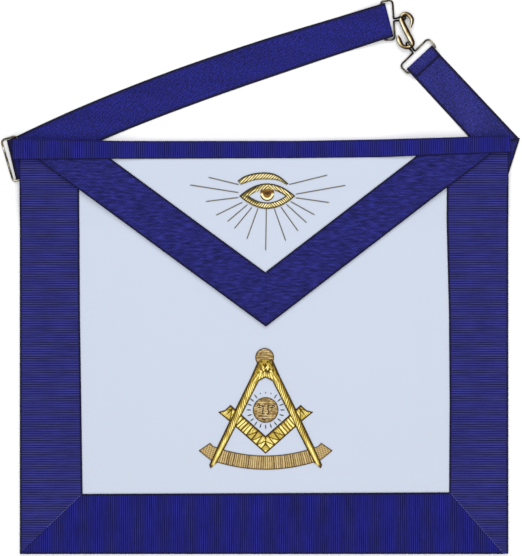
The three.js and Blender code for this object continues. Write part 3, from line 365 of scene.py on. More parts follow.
# Length of a segment of the square's arms, and the arms' width.
SEGMENT = 0.0057
ARM_WIDTH = 0.0092
# Distance from stitch to stitch of the eye, and the depths between fine threads and between a disc's threads.
SATIN_PITCH = 0.0017
FINE_DEPTH = 0.00018
DISC_DEPTH = 0.00020
# Gap between the cloth and the raised work on it, and how much of its tone the foot of that work keeps, which
# paints shade where the work meets the cloth.
RELIEF_LIFT = 0.00005
FOOT_SHADE = 0.5
# Heights of the rays' stitches, and width and height of those of the face and the mitres.
RAY_HEIGHT = 0.0006
SUN_RAY_HEIGHT = 0.0005
FACE_THREAD = (0.00085, 0.0007)
MITRE_THREAD = (0.0008, 0.0005)
# Where the face's stitches lie, as a share of the sun's height.
FACE_SEAT = 0.78
# Stitches of the mitres: from where to where along them, how far aside and how deep in the ribbon.
MITRE_STITCHED = {"left": (0.45, 0.98), "right": (0.06, 0.98)}
MITRE_ASIDE = 0.0006
MITRE_SINK = 0.0002
# Distance at which a dark edge has no more effect.
FAR = 0.01
# How much fainter a ribbon's painted shade along its edge is, and the heights between which this sets in on a
# side border.
FAINT_EDGE = {"border": 0.0008, "flap": 0.0007, "band": 0.0008}
FAINT_BORDER = {"low": -0.040, "high": -0.034}
# Least width of a ribbon where it runs out to a point.
LEAST_WIDTH = 0.0003
LEAST_FLAP_WIDTH = 0.0002
# How far short of the panel's side a flap ribbon ends, and how far below the top line a border starts.
FLAP_RIBBON_END = 0.0001
BORDER_TOP = 0.003
# Distance from a ribbon's edge over which its grooves get shallower.
RIB_FADE = 0.001
# Roundings of the leather's edge and of the webbing's edge.
LEATHER_ROUND = 0.0003
WEBBING_ROUND = 0.00035
# How far the flap's leather ends inside its ribbon, the binding's rounded lip, and where its slant starts.
FLAP_MARGIN = 0.0006
BAND_LIP = 0.0006
BAND_SLANT_REACH = 0.004
# Painted shade at a strap's fold and hem: how near an edge they count as, and how fast the fold's fades.
FOLD_SHADE = 0.0013
HEM_SHADE = 0.0004
FOLD_SHADE_FADE = 0.8
# Steps of the meshes.
RIB_STEPS = 6
BAND_STEPS = 5
BORDER_COLUMNS = 9
FLAP_RIBBON_COLUMNS = 10
LEATHER_STEP = 0.0035
FLAP_ROWS = 44
STRAP_COLUMNS = 11
STRAP_STEP = 0.0012
TAIL_STATIONS = 50
FOLD_STATIONS = 13
FOLD_END = TAIL_STATIONS + FOLD_STATIONS - 2
HEM_STATIONS = 10
HEM_MARKED = 12
WIRE_STEP = 0.0014
WIRE_SIDES = 16
HOOK_SIDES = 24
HOOK_STEPS = 12
STITCH_SIDES = 8
STITCH_STEP = 0.0012
SPLINE_STEPS = 6
CURVE_STEPS = 28
CIRCLE_STEPS = 72
IRIS_STEPS = 60
QUADRANT_STEPS = 41
GRAIN_CELLS = 64
# Angles in degrees from which an edge is shaded sharp.
PLAIN_SHARP = 50
RIB_SHARP = 60
RELIEF_SHARP = 75
# Painted highlight and shade of the wire and the hook: where the painted bright side faces, and how far round
# it the painted highlight reaches, with painted shade beyond.
WIRE_LIGHT = (-0.1, 0.1, 1)
RING_PAINTED_HIGHLIGHT = (0.92, 1.06)
ADJUSTER_PAINTED_HIGHLIGHT = (0.78, 1.12)
HOOK_PAINTED_HIGHLIGHT = ((-0.9, 0.3, 1), (0.54, 0.98))
# Looks of the ribbons: contrast of the painted highlights on the ribs and painted shade in the grooves,
# cloudy painted sheen and its lean, and level streaks of painted sheen.
RIBBON_LOOKS = {
    "sides": {"contrast": 1.25, "sheen": 0.5, "lean": 0.1, "streaks": 0.0},
    "plain": {"contrast": 1.2, "sheen": 0.5, "lean": 0.1, "streaks": 0.0},
    "flap": {"contrast": 0.45, "sheen": 0.6, "lean": 0.7, "streaks": 2.4},
}
# Distances between the webbing's yarns, between the lines of its twill and between the twists of a thread.
YARN = 0.0011
TWILL = 0.0024
TWIST = 0.0011
# Distances from an edge between which the painted shade along it fades out.
RIBBON_EDGE_SHADE = (0.0009, 0.0023)
WEBBING_EDGE_SHADE = (0.0013, 0.0028)
# Lights: size across and along, and place.
LIGHTS = {
    "top": ((2.4, 2.4), (0, 0, 1.6)),
    "key": ((1.6, 0.7), (0.25, 1.35, 1.25)),
    "fill": ((1.6, 0.7), (-0.2, -1.4, 1.2)),
}
# Camera's sensor in millimetres, the height in metres at which the picture has its scale, and the floor.
SENSOR = 36
SCALE_HEIGHT = 0.002
FLOOR_SIZE = 8
FLOOR_DROP = 0.0002


def column(table, key, at, name):
    return np.interp(at, table[key], table[name])


def smooth(part):
    return part * part * (3 - 2 * part)


def step(value, low, high):
    """0 below low, 1 above high, smooth in between."""
    return smooth(np.clip((value - low) / (high - low), 0, 1))


def dark_to_light(least, value, low, high):
    """least below low, 1 above high, smooth in between."""
    return least + (1 - least) * step(value, low, high)


def unit(vector):
    vector = np.asarray(vector, float)
    return vector / np.linalg.norm(vector)


def heading(radians):
    return np.array((math.cos(radians), math.sin(radians), 0.0))


def grain(x, y, size, seed):
    """Smooth random values from 0 to 1 with a given size in metres."""
    values = np.random.default_rng(seed).random((GRAIN_CELLS, GRAIN_CELLS))
    u, v = np.asarray(x) / size, np.asarray(y) / size
    i, j = np.floor(u).astype(int), np.floor(v).astype(int)
    a, b = smooth(u - i), smooth(v - j)

    def pick(p, q):
        return values[p % GRAIN_CELLS, q % GRAIN_CELLS]

    low = pick(i, j) * (1 - a) + pick(i + 1, j) * a
    high = pick(i, j + 1) * (1 - a) + pick(i + 1, j + 1) * a
    return low * (1 - b) + high * b


def ridge(phase):
    """Rounded ridges with narrow grooves, 0 in a groove at each whole number."""
    return np.sqrt(np.abs(np.sin(np.pi * phase)))


def each_thread(phase, seed, count):
    """A random value from 0 to 1 for each whole step of the phase."""
    return np.random.default_rng(seed).random(count)[np.floor(phase).astype(int) % count]


def around(count):
    return np.linspace(0, math.tau, count, endpoint=False)


# Heights of the layers
def half():
    return settings("apron_sizes").width / 2


def corner_share(x, y):
    """How far a place is lifted by the folded corners of the belt, from 0 to 1."""
    d = settings("apron_drape")
    inwards = step(np.abs(x), half() - d.corner_inside - d.reach, half() - d.corner_inside)
    return inwards * (1 - step(-y, d.corner_depth, d.corner_depth + d.reach))


def ring_share(x):
    """How far a place is lifted by the adjuster, from 0 to 1."""
    d = settings("apron_drape")
    return 1 - step(x, -half() + d.ring_hold, -half() + d.ring_hold + d.ring_reach)


def back_lift(x, y):
    """Height of the belt's layers and the adjuster behind the panel."""
    a, b = settings("apron_sizes"), settings("apron_belt")
    return corner_share(x, y) * (2 * (b.thickness + a.gap) + (b.wire + a.gap) * ring_share(x))


def panel_under(x, y):
    a, d = settings("apron_sizes"), settings("apron_drape")
    bound = 1 - step(-y, a.band + a.ribbon, a.band + a.ribbon + d.reach)
    return back_lift(x, y) + bound * (a.ribbon + a.gap)


def panel_top(x, y):
    return panel_under(x, y) + settings("apron_sizes").leather


def border_under(x, y):
    return panel_top(x, y) + settings("apron_sizes").gap


def flap_under(x, y):
    a, d = settings("apron_sizes"), settings("apron_drape")
    widest = a.border * max(SIDE_WIDTHS["left"][0], SIDE_WIDTHS["right"][0]) + a.ribbon
    on_border = 1 - step(half() - np.abs(x), widest, widest + d.reach)
    return panel_top(x, y) + a.gap + on_border * (a.ribbon + a.gap)


def flap_top(x, y):
    return flap_under(x, y) + settings("apron_sizes").flap_leather


def flap_slope(x):
    a = settings("apron_sizes")
    left = (a.flap_depth - a.flap_left_drop) / (half() + a.flap_shift)
    right = (a.flap_depth + a.flap_right_rise) / (half() - a.flap_shift)
    return np.where(np.asarray(x) < a.flap_shift, left, right)


def band_front_under(x):
    """Height of what the binding's front lies on."""
    a, d = settings("apron_sizes"), settings("apron_drape")
    slope = flap_slope(x)
    inner = (a.flap_depth - a.flap_ribbon * np.hypot(1, slope) - a.band) / slope - a.ribbon
    on_ribbon = step(np.abs(x), inner - d.reach, inner)
    return flap_top(x, np.zeros_like(x)) + a.gap + on_ribbon * (a.ribbon + a.gap)


def band_top(x):
    a = settings("apron_sizes")
    return column(BAND_EDGES, "across", x / a.width + 0.5, "rise") * a.band


def band_foot(x):
    a = settings("apron_sizes")
    return -column(BAND_EDGES, "across", x / a.width + 0.5, "drop") * a.band


def panel_edge(x):
    """Top edge of the leather, inside the binding."""
    a = settings("apron_sizes")
    return band_top(x) - a.ribbon - a.gap


def flap_outer(x):
    a = settings("apron_sizes")
    return -a.flap_depth + np.abs(x - a.flap_shift) * flap_slope(x)


def side_width(side, y):
    a = settings("apron_sizes")
    return column(SIDE_WIDTHS, "down", -y / a.height, side) * a.border


# Meshes
def place(points):
    """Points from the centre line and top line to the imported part's frame."""
    a = settings("apron_sizes")
    low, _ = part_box("apron_panel")
    shift = np.array((low.x + half(), low.y + a.height, 0.0))
    return np.asarray(points, float) + shift


def build(name, points, faces, uv, tone=None, edge=None, sharp=PLAIN_SHARP):
    """A mesh object from points from the centre line, facing outwards, riding on the part's body."""
    mesh = bpy.data.meshes.new(name)
    mesh.from_pydata(place(points).tolist(), [], [list(f) for f in faces])
    mesh.validate()
    layer = mesh.uv_layers.new(name="lie")
    index = np.empty(len(mesh.loops), int)
    mesh.loops.foreach_get("vertex_index", index)
    layer.data.foreach_set("uv", np.asarray(uv, float)[index].ravel())
    for key, values in (("tone", tone), ("edge", edge)):
        if values is not None:
            attribute = mesh.attributes.new(key, "FLOAT", "POINT")
            attribute.data.foreach_set("value", np.asarray(values, float).ravel())
    mesh.shade_smooth()
    mesh.set_sharp_from_angle(angle=math.radians(sharp))
    mesh.update()
    obj = bpy.data.objects.new(name, mesh)
    bpy.context.scene.collection.objects.link(obj)
    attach(obj, "root")
    return obj


def finish_piece(obj, material, slot, *nodes):
    obj.data.materials.append(material)
    if nodes:
        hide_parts(*nodes)
    return obj


def grid_quads(index):
    quads = np.stack((index[:-1, :-1], index[1:, :-1], index[1:, 1:], index[:-1, 1:]), -1)
    return quads.reshape(-1, 4)


def signed_volume(points, quads):
    """Negative where the faces of a closed mesh look inwards."""
    a, b, c, d = (points[quads[:, i]] for i in range(4))
    return float((np.cross(a, b) * c).sum() + (np.cross(a, c) * d).sum())


def slab(name, top, bottom, uv, tone=None, edge=None, sharp=PLAIN_SHARP):
    """A closed sheet between two grids of points."""
    rows, columns = top.shape[:2]
    index = np.arange(rows * columns).reshape(rows, columns)
    under = index + rows * columns
    rim = np.concatenate((index[0, :], index[1:, -1], index[-1, -2::-1], index[-2:0:-1, 0]))
    turn = np.roll(rim, -1)
    sides = np.stack((rim, turn, turn + rows * columns, rim + rows * columns), -1)
    quads = np.concatenate((grid_quads(index), grid_quads(under)[:, ::-1], sides[:, ::-1]))
    points = np.concatenate((top.reshape(-1, 3), bottom.reshape(-1, 3)))
    if signed_volume(points, quads) < 0:
        quads = quads[:, ::-1]

    def twice(values):
        return None if values is None else np.concatenate((values.ravel(), values.ravel()))

    uvs = np.concatenate((uv.reshape(-1, 2), uv.reshape(-1, 2)))
    return build(name, points, quads.tolist(), uvs, twice(tone), twice(edge), sharp)


def edge_shares(width, rounding, count):
    """Shares across a ribbon with extra ones near its edges."""
    near = rounding / width
    inner = np.linspace(2.5 * near, 1 - 2.5 * near, count)
    return np.concatenate(((0, 0.35 * near, near), inner, (1 - near, 1 - 0.35 * near, 1)))


def rounding_drop(distance, rounding):
    """How far the face comes down at this distance from the edge."""
    part = np.clip(distance / rounding, 0, 1)
    return rounding * (1 - np.sqrt(1 - (1 - part) ** 2))


def rib_stations(low, high, pitch, per_rib):
    """Places along a ribbon: its ends, and even steps that keep clear of them."""
    unit_step = pitch / per_rib
    inner = np.arange(math.ceil(low / unit_step + 0.2), math.floor(high / unit_step - 0.2) + 1) * unit_step
    return np.concatenate(((low,), inner, (high,)))


def ribbed_sheet(name, x, y, under, across, along, width, pitch, outline):
    """A ribbon over the grid x, y, ribbed across its length. outline is the distance from its edges, which
    get painted shade.
    """
    a = settings("apron_sizes")
    distance = np.minimum(across, width - across)
    ribs = ridge(along / pitch)
    groove = a.rib_height * (1 - ribs) * dark_to_light(0.4, distance, 0, RIB_FADE)
    top_z = under + a.ribbon - rounding_drop(distance, a.edge_round) - groove
    top = np.stack((x, y, top_z), -1)
    bottom = np.stack((x, y, under), -1)
    uv = np.stack((across, along), -1)
    return slab(name, top, bottom, uv, ribs, outline, RIB_SHARP)


def mitre_foot(side):
    """Distance of a mitre's lower end from the panel's corner."""
    return settings("apron_sizes").mitre_start if side == "right" else 0


def mitre_head(side):
    """Height of a mitre's upper end, and its distance from the panel's side."""
    a = settings("apron_sizes")
    head_y = -a.height + BOTTOM_WIDTHS[side] * a.border
    return head_y, side_width(side, head_y)


def side_border(side):
    a = settings("apron_sizes")
    start = mitre_foot(side)
    corner_y, corner_in = mitre_head(side)
    y = rib_stations(-a.height + LEAST_WIDTH, -BORDER_TOP, a.rib, RIB_STEPS)[:, None]
    mitre = start + (corner_in - start) * (y + a.height) / (corner_y + a.height)
    reach = np.where(y > corner_y, side_width(side, y), mitre)
    reach = np.maximum(reach - a.seam / 2, LEAST_WIDTH)
    shares = edge_shares(a.border, a.edge_round, BORDER_COLUMNS)[None, :]
    inwards = shares * reach
    x = SIGNS[side] * (half() - inwards)
    y = np.broadcast_to(y, x.shape)
    under = border_under(x, y)
    fainter = FAINT_EDGE["border"] * step(y, FAINT_BORDER["low"], FAINT_BORDER["high"])
    outline = np.minimum(inwards + fainter, np.where(y > corner_y, reach - inwards, FAR))
    width = np.broadcast_to(reach, x.shape)
    return ribbed_sheet("ribbon_border_" + side, x, y, under, inwards, y, width, a.rib, outline)


def bottom_border():
    a = settings("apron_sizes")
    foot = {"left": -half() + a.seam, "right": half() - a.mitre_start - a.seam}
    inner_y = {side: mitre_head(side)[0] for side in SIGNS}
    inner_x = {side: SIGNS[side] * (half() - mitre_head(side)[1]) for side in SIGNS}
    x = rib_stations(foot["left"], foot["right"], a.fine_rib, RIB_STEPS)[:, None]
    straight = np.interp(x, [inner_x[side] for side in SIGNS], [inner_y[side] for side in SIGNS])
    left = (x - foot["left"]) / (inner_x["left"] - foot["left"]) * (inner_y["left"] + a.height)
    right = (foot["right"] - x) / (foot["right"] - inner_x["right"]) * (inner_y["right"] + a.height)
    reach = np.minimum(np.minimum(straight + a.height, left), right) - a.seam / 2
    reach = np.maximum(reach, LEAST_WIDTH)
    level = straight + a.height < np.minimum(left, right)
    upwards = edge_shares(a.border, a.edge_round, BORDER_COLUMNS)[None, :] * reach
    y = -a.height + upwards
    x = np.broadcast_to(x, y.shape)
    width = np.broadcast_to(reach, y.shape)
    outline = np.minimum(upwards, np.where(level, reach - upwards, FAR))
    under = border_under(x, y)
    return ribbed_sheet("ribbon_border_bottom", x, y, under, upwards, x, width, a.fine_rib, outline)


def flap_ribbon(side):
    a = settings("apron_sizes")
    sign = SIGNS[side]
    slope = float(flap_slope(sign * half()))
    way = unit((sign, slope))
    inwards = np.array((-sign * way[1], sign * way[0]))
    seam = a.flap_shift + sign * a.seam / 2
    tip = np.array((seam, -a.flap_depth + abs(seam - a.flap_shift) * slope))
    total = (half() - abs(seam) * (1 if sign * seam > 0 else -1)) / abs(way[0])
    along = rib_stations(LEAST_WIDTH, total - FLAP_RIBBON_END, a.rib, RIB_STEPS)[:, None]
    base = tip + along * way
    to_seam = (seam - base[:, :1]) / inwards[0]
    edge_y = panel_edge(base[:, :1])
    to_top = (edge_y - base[:, 1:2]) / inwards[1]
    reach = np.maximum(np.minimum(np.minimum(a.flap_ribbon, to_seam), to_top), LEAST_FLAP_WIDTH)
    across = edge_shares(a.flap_ribbon, a.edge_round, FLAP_RIBBON_COLUMNS)[None, :] * reach
    x = base[:, :1] + across * inwards[0]
    y = base[:, 1:2] + across * inwards[1]
    under = flap_top(x, y) + a.gap
    along = np.broadcast_to(along, x.shape)
    width = np.broadcast_to(reach, x.shape)
    on_border = step(np.abs(x), half() - a.border - a.ribbon, half() - a.border)
    whole = reach > a.flap_ribbon - 1e-6
    outline = np.minimum(across + FAINT_EDGE["flap"] * on_border, np.where(whole, reach - across, FAR))
    return ribbed_sheet("ribbon_flap_" + side, x, y, under, across, along, width, a.rib, outline)


def arc(count, begin, end):
    angles = np.linspace(begin, end, count)
    return np.cos(angles), np.sin(angles)


def binding():
    """The binding's outline from its back edge over the top to its front edge, drawn out along the ribs."""
    a = settings("apron_sizes")
    x = rib_stations(-half() - a.band_left, half() + a.band_right, a.fine_rib, BAND_STEPS)
    on_panel = np.clip(x, -half(), half())
    top, foot = band_top(on_panel), band_foot(on_panel)
    back, front = back_lift(on_panel, np.zeros_like(x)), band_front_under(on_panel) + a.ribbon
    ribs = ridge(x / a.fine_rib)
    r = a.band_round
    lines = []
    for part in (0, 0.5, 1):
        lines.append((-a.band + (top - r + a.band) * part, back, 0 * x, -1 + 0 * x))
    for c, s in list(zip(*arc(5, -math.pi / 2, 0)))[1:]:
        lines.append((top - r + r * c, back + r + r * s, c + 0 * x, s + 0 * x))
    for c, s in list(zip(*arc(5, 0, math.pi / 2))):
        lines.append((top - r + r * c, front - r + r * s, c + 0 * x, s + 0 * x))
    for part in np.linspace(0, 1, 6)[1:-1]:
        lines.append((top - r + (foot + BAND_LIP - top + r) * part, front, 0 * x, 1 + 0 * x))
    for part in (BAND_LIP, BAND_LIP / 3, 0):
        lines.append((foot + part, front - rounding_drop(part, a.edge_round), 0 * x, 1 + 0 * x))
    y, z, ny, nz = (np.stack(values, 1) for values in zip(*lines))
    depth = a.rib_height * (1 - ribs)[:, None]
    at_end = step(x, half() - BAND_SLANT_REACH, half() + a.band_right)[:, None]
    slant = a.band_slant * np.clip(-y / a.band, 0, 1) * at_end
    along = np.broadcast_to(x[:, None], y.shape)
    outer = np.stack((along + slant, y - ny * depth, z - nz * depth), -1)
    inner_z = z - nz * a.ribbon
    inner_z[:, -3:] = front[:, None] - a.ribbon
    inner = np.stack((along + slant, y - ny * a.ribbon, inner_z), -1)
    run = np.concatenate((np.zeros((len(x), 1)), np.cumsum(np.hypot(np.diff(y), np.diff(z)), 1)), 1)
    # The distance from the binding's lower edge gives painted shade along it.
    from_edge = np.minimum(y - foot[:, None], (top[:, None] - y) * 0.6 + 0.0002)
    distance = np.where(nz > 0.5, from_edge + FAINT_EDGE["band"], FAR)
    uv = np.stack((run, along), -1)
    return slab("ribbon_binding", outer, inner, uv, np.broadcast_to(ribs[:, None], y.shape), distance)


def leather_sheet(name, x, y, under, thickness):
    top = np.stack((x, y, under + thickness), -1)
    bottom = np.stack((x, y, under), -1)
    top[[0, -1], :, 2] -= LEATHER_ROUND
    top[:, [0, -1], 2] -= LEATHER_ROUND
    return slab(name, top, bottom, np.stack((x, y), -1))


def padded_stations(low, high):
    """Even places from low to high, with the first and last ones drawn close to the ends."""
    near = settings("apron_sizes").edge_round
    inner = np.linspace(low, high, int(math.ceil((high - low) / LEATHER_STEP)) + 1)
    return np.concatenate(((low, low + near), inner[1:-1], (high - near, high)))


def leather_panel():
    a = settings("apron_sizes")
    x = padded_stations(-half(), half())[None, :]
    shares = padded_stations(0, a.height)[:, None] / a.height
    y = panel_edge(x) * (1 - shares) - a.height * shares
    x = np.broadcast_to(x, y.shape)
    return leather_sheet("leather_panel", x, y, panel_under(x, y), a.leather)


def leather_flap():
    a = settings("apron_sizes")
    x = padded_stations(-half(), half())[None, :]
    shares = np.linspace(0, 1, FLAP_ROWS)[:, None]
    y = panel_edge(x) * (1 - shares) + (flap_outer(x) + FLAP_MARGIN) * shares
    x = np.broadcast_to(x, y.shape)
    return leather_sheet("leather_flap", x, y, flap_under(x, y), a.flap_leather)


# Belt
class Route:
    """The middle of a strap from its corner fold to its ring."""

    def __init__(self, start, end, table):
        self.start, self.chord = start, end - start
        self.aside = np.array((-self.chord[1], self.chord[0], 0.0))
        degree = 4 if len(table["along"]) > 4 else 1
        self.bow = np.polyfit(table["along"], table["bow"], degree)
        self.table = table
        self.length = float(np.linalg.norm(self.chord))

    def point(self, part):
        return self.start + self.chord * part + self.aside * np.polyval(self.bow, part)

    def way(self, part):
        return unit(self.chord + self.aside * np.polyval(np.polyder(self.bow), part))


def belt_layout():
    """The chain of places from the short strap's corner through both rings and the hook to the long strap."""
    b = settings("apron_belt")
    right = np.array((half() + b.right_out, -b.right_down, 0.0))
    left = np.array((-half() - b.left_out, -b.left_down, 0.0))
    short_way = heading(b.short_heading)
    short_end = right + short_way * b.short_length
    short_out = heading(math.radians(SHORT_RING["turn"]))
    short_pivot = short_end - short_way * SHORT_RING["back"]
    short_along = np.array((-short_out[1], short_out[0], 0.0)) * SHORT_RING["hand"]
    in_eye = b.ring_depth + HOOK_SEAT_IN_EYE * b.eye_reach
    lean = b.eye_lean * HOOK_SEAT_IN_EYE
    low_seat = np.array((*HOOK_LOWER_SEAT, 0)) * b.hook
    top_seat = np.array((*HOOK_TOP_SEAT, 0)) * b.hook
    hook = short_pivot + short_out * in_eye - short_along * lean - low_seat
    long_out = heading(math.radians(LONG_RING["turn"]))
    long_along = np.array((-long_out[1], long_out[0], 0.0)) * LONG_RING["hand"]
    long_pivot = hook + top_seat - long_out * in_eye - long_along * lean
    long_end = long_pivot + heading(b.long_end) * LONG_RING["back"] - long_along * LONG_RING["shift"]
    return {
        "hook": hook,
        "long": (long_pivot, long_out, LONG_RING),
        "short": (short_pivot, short_out, SHORT_RING),
        "long_route": Route(left, long_end, LONG_RUN),
        "short_route": Route(right, short_end, SHORT_RUN),
    }


def corner_fold(route, tail):
    """The run's direction at the fold, the fold's line, the direction out of the fold, the direction across
    the run, the slope of the fold's line to it, and the direction across the tail."""
    run = route.way(0)
    line = unit(tail - run)
    ahead = -unit(tail + run)
    square = np.array((-run[1], run[0], 0.0))
    slope = float(line @ run) / float(line @ square)
    tail_square = 2 * (square @ line) * line - square
    return run, line, ahead, square, slope, tail_square


def fold_stations(axis, ahead, across, width, radius, rise):
    """Stations round a half turn. rise is 1 where it turns upwards and -1 where it turns downwards."""
    up = np.array((0.0, 0.0, 1.0))
    made = []
    for turn in np.linspace(0, math.pi, FOLD_STATIONS):
        middle = axis + ahead * radius * math.sin(turn) + up * rise * radius * (1 - math.cos(turn))
        normal = ahead * rise * math.sin(turn) - up * math.cos(turn)
        made.append((middle, across, normal, width))
    return made


def strap_stations(route, tail_way, inside_gap, hem, hem_under, ring_back):
    """Stations of a strap: its middle, the vector across, the normal of its under face and its width."""
    a, b = settings("apron_sizes"), settings("apron_belt")
    snug = b.ring_length - b.wire - 2 * a.gap - b.ring_slack
    ring_gap = b.wire + 2 * a.gap
    radius, loop_radius = (inside_gap + b.thickness) / 2, (ring_gap + b.thickness) / 2
    run_way, line, ahead, square, slope, tail_square = corner_fold(route, tail_way)

    def width_at(part):
        return float(b.webbing + (snug - b.webbing) * column(route.table, "along", part, "squeeze"))

    middle_height = b.thickness / 2
    hold = ring_back + b.wire
    drape = settings("apron_drape").reach
    up = np.array((0.0, 0.0, 1.0))
    start = route.point(0)
    made = []
    tail_slope = float(line @ tail_way) / float(line @ tail_square)
    for distance in np.linspace(b.tail, 0, TAIL_STATIONS):
        skew = 1 - step(distance, 0, b.tail)
        middle = start + tail_way * distance
        lowered = (b.wire + a.gap) * (1 - ring_share(middle[0])) if inside_gap > b.wire + a.gap else 0
        middle = middle + up * (middle_height + 2 * radius - lowered)
        made.append((middle, tail_square + tail_way * skew * tail_slope, up, width_at(0)))
    fold_across = square + run_way * slope
    fold = fold_stations(start + up * middle_height, ahead, fold_across, width_at(0), radius, 1)
    made.extend(fold[::-1][1:])
    count = int(route.length / STRAP_STEP)
    for part in np.linspace(0, 1, count)[1:]:
        way = route.way(part)
        gone = part * route.length
        climb = step(gone, route.length - hold - drape, route.length - hold) * hem_under
        middle = route.point(part) + up * (middle_height + climb * 2 * loop_radius)
        skew = 1 - step(gone, 0, b.skew_reach)
        lead = route.table["end_skew"] * step(gone, route.length - b.skew_reach, route.length)
        across = np.array((-way[1], way[0], 0.0)) + way * (skew * slope + lead)
        made.append((middle, across, -up, width_at(part)))
    way, last = route.way(1), made[-1]
    loop = fold_stations(last[0], way, last[1], snug, loop_radius, -1 if hem_under else 1)[1:]
    made.extend(loop)
    foot, across, normal, _ = loop[-1]
    drop = 2 * loop_radius - b.thickness - a.gap
    for distance in np.linspace(0, hem, HEM_STATIONS)[1:]:
        lowered = 0 if hem_under else drop * step(distance, hold, hem)
        made.append((foot - way * distance - up * lowered, across, normal, snug))
    return made


def strap(name, stations):
    b = settings("apron_belt")
    middle, across, normal, width = (np.array([station[i] for station in stations]) for i in range(4))
    shares = edge_shares(b.webbing, WEBBING_ROUND, STRAP_COLUMNS) - 0.5
    spread = across[:, None, :] * (shares[None, :, None] * width[:, None, None])
    distance = np.broadcast_to((0.5 - np.abs(shares))[None, :] * width[:, None], spread.shape[:2])
    thin = rounding_drop(distance, WEBBING_ROUND)[..., None]
    # The hem's end and the fold get painted shade, through the same distance that darkens the edges.
    to_end = np.linalg.norm(middle - middle[-1], axis=1)
    in_hem = np.arange(len(middle)) > len(middle) - HEM_MARKED
    hem = np.where(in_hem, to_end + HEM_SHADE, FAR)
    lean = normal[:, None, :]
    face = middle[:, None, :] + spread + lean * (b.thickness / 2 - thin)
    back = middle[:, None, :] + spread - lean * (b.thickness / 2 - thin)
    run = np.concatenate(((0,), np.cumsum(np.linalg.norm(np.diff(middle, axis=0), axis=1))))
    past_fold = np.maximum(run[TAIL_STATIONS - 1] - run, run - run[FOLD_END])
    fold = FOLD_SHADE + FOLD_SHADE_FADE * np.maximum(past_fold, 0)
    distance = np.minimum(distance, np.minimum(hem, fold)[:, None])
    along = np.broadcast_to(run[:, None], distance.shape)
    aside = np.broadcast_to(shares[None, :] * b.webbing, distance.shape)
    return slab(name, face, back, np.stack((aside, along), -1), edge=distance)


# Wire and hook
def catmull(points, closed, per):
    """A smooth line through points, evenly divided between each two."""
    points = np.asarray(points, float)
    count = len(points)
    made = []
    for i in range(count if closed else count - 1):
        p1, p2 = points[i], points[(i + 1) % count]
        p0 = points[i - 1] if closed or i else 2 * p1 - p2
        p3 = points[(i + 2) % count] if closed or i < count - 2 else 2 * p2 - p1
        d0, d1, d2 = (math.sqrt(np.linalg.norm(q - p)) for p, q in ((p0, p1), (p1, p2), (p2, p3)))
        t1 = ((p1 - p0) / d0 - (p2 - p0) / (d0 + d1) + (p2 - p1) / d1) * d1
        t2 = ((p2 - p1) / d1 - (p3 - p1) / (d1 + d2) + (p3 - p2) / d2) * d1
        for u in np.linspace(0, 1, per, endpoint=False):
            made.append(p1 + t1 * u + (3 * (p2 - p1) - 2 * t1 - t2) * u**2 + (2 * (p1 - p2) + t1 + t2) * u**3)
    if not closed:
        made.append(points[-1])
    return np.array(made)


def straightened(points):
    """The points of a closed line, with more of them on its long straight parts."""
    made = []
    for p, q in zip(points, [*points[1:], points[0]]):
        count = max(1, int(np.linalg.norm(q - p) / WIRE_STEP))
        made.extend(p + (q - p) * i / count for i in range(count))
    return made


def sweep(name, line, wide, deep, sides, closed, painted_highlight):
    """An oval section swept along a line that nowhere runs upright. The last argument gives where its painted
    highlight faces and how far round it reaches; its other sides get painted shade."""
    count = len(line)
    ahead = np.roll(line, -1, 0) - np.roll(line, 1, 0)
    if not closed:
        ahead[0], ahead[-1] = line[1] - line[0], line[-1] - line[-2]
    aside = np.stack((-ahead[:, 1], ahead[:, 0], 0 * ahead[:, 0]), -1)
    aside /= np.linalg.norm(aside, axis=1)[:, None]
    up = np.cross(ahead, aside)
    up /= np.linalg.norm(up, axis=1)[:, None]
    turn = around(sides)
    wide, deep = np.broadcast_to(wide, count), np.broadcast_to(deep, count)
    points = (
        line[:, None, :]
        + aside[:, None, :] * (wide[:, None] * np.cos(turn))[..., None]
        + up[:, None, :] * (deep[:, None] * np.sin(turn))[..., None]
    ).reshape(-1, 3)
    index = np.arange(count * sides).reshape(count, sides)
    index = np.concatenate((index, index[:, :1]), 1)
    if closed:
        index = np.concatenate((index, index[:1]), 0)
    faces = grid_quads(index)[:, ::-1].tolist()
    uv = np.stack((np.tile(turn, count), np.repeat(np.arange(count), sides)), -1)
    if not closed:
        faces.append(list(range(sides)))
        faces.append(list(range((count - 1) * sides, count * sides))[::-1])
    facing = aside[:, None, :] * np.cos(turn)[:, None] + up[:, None, :] * np.sin(turn)[:, None]
    # The tone paints a highlight where the surface faces the given direction, and shade elsewhere.
    light = step(facing @ unit(painted_highlight[0]), *painted_highlight[1])
    return build(name, points, faces, uv, light)


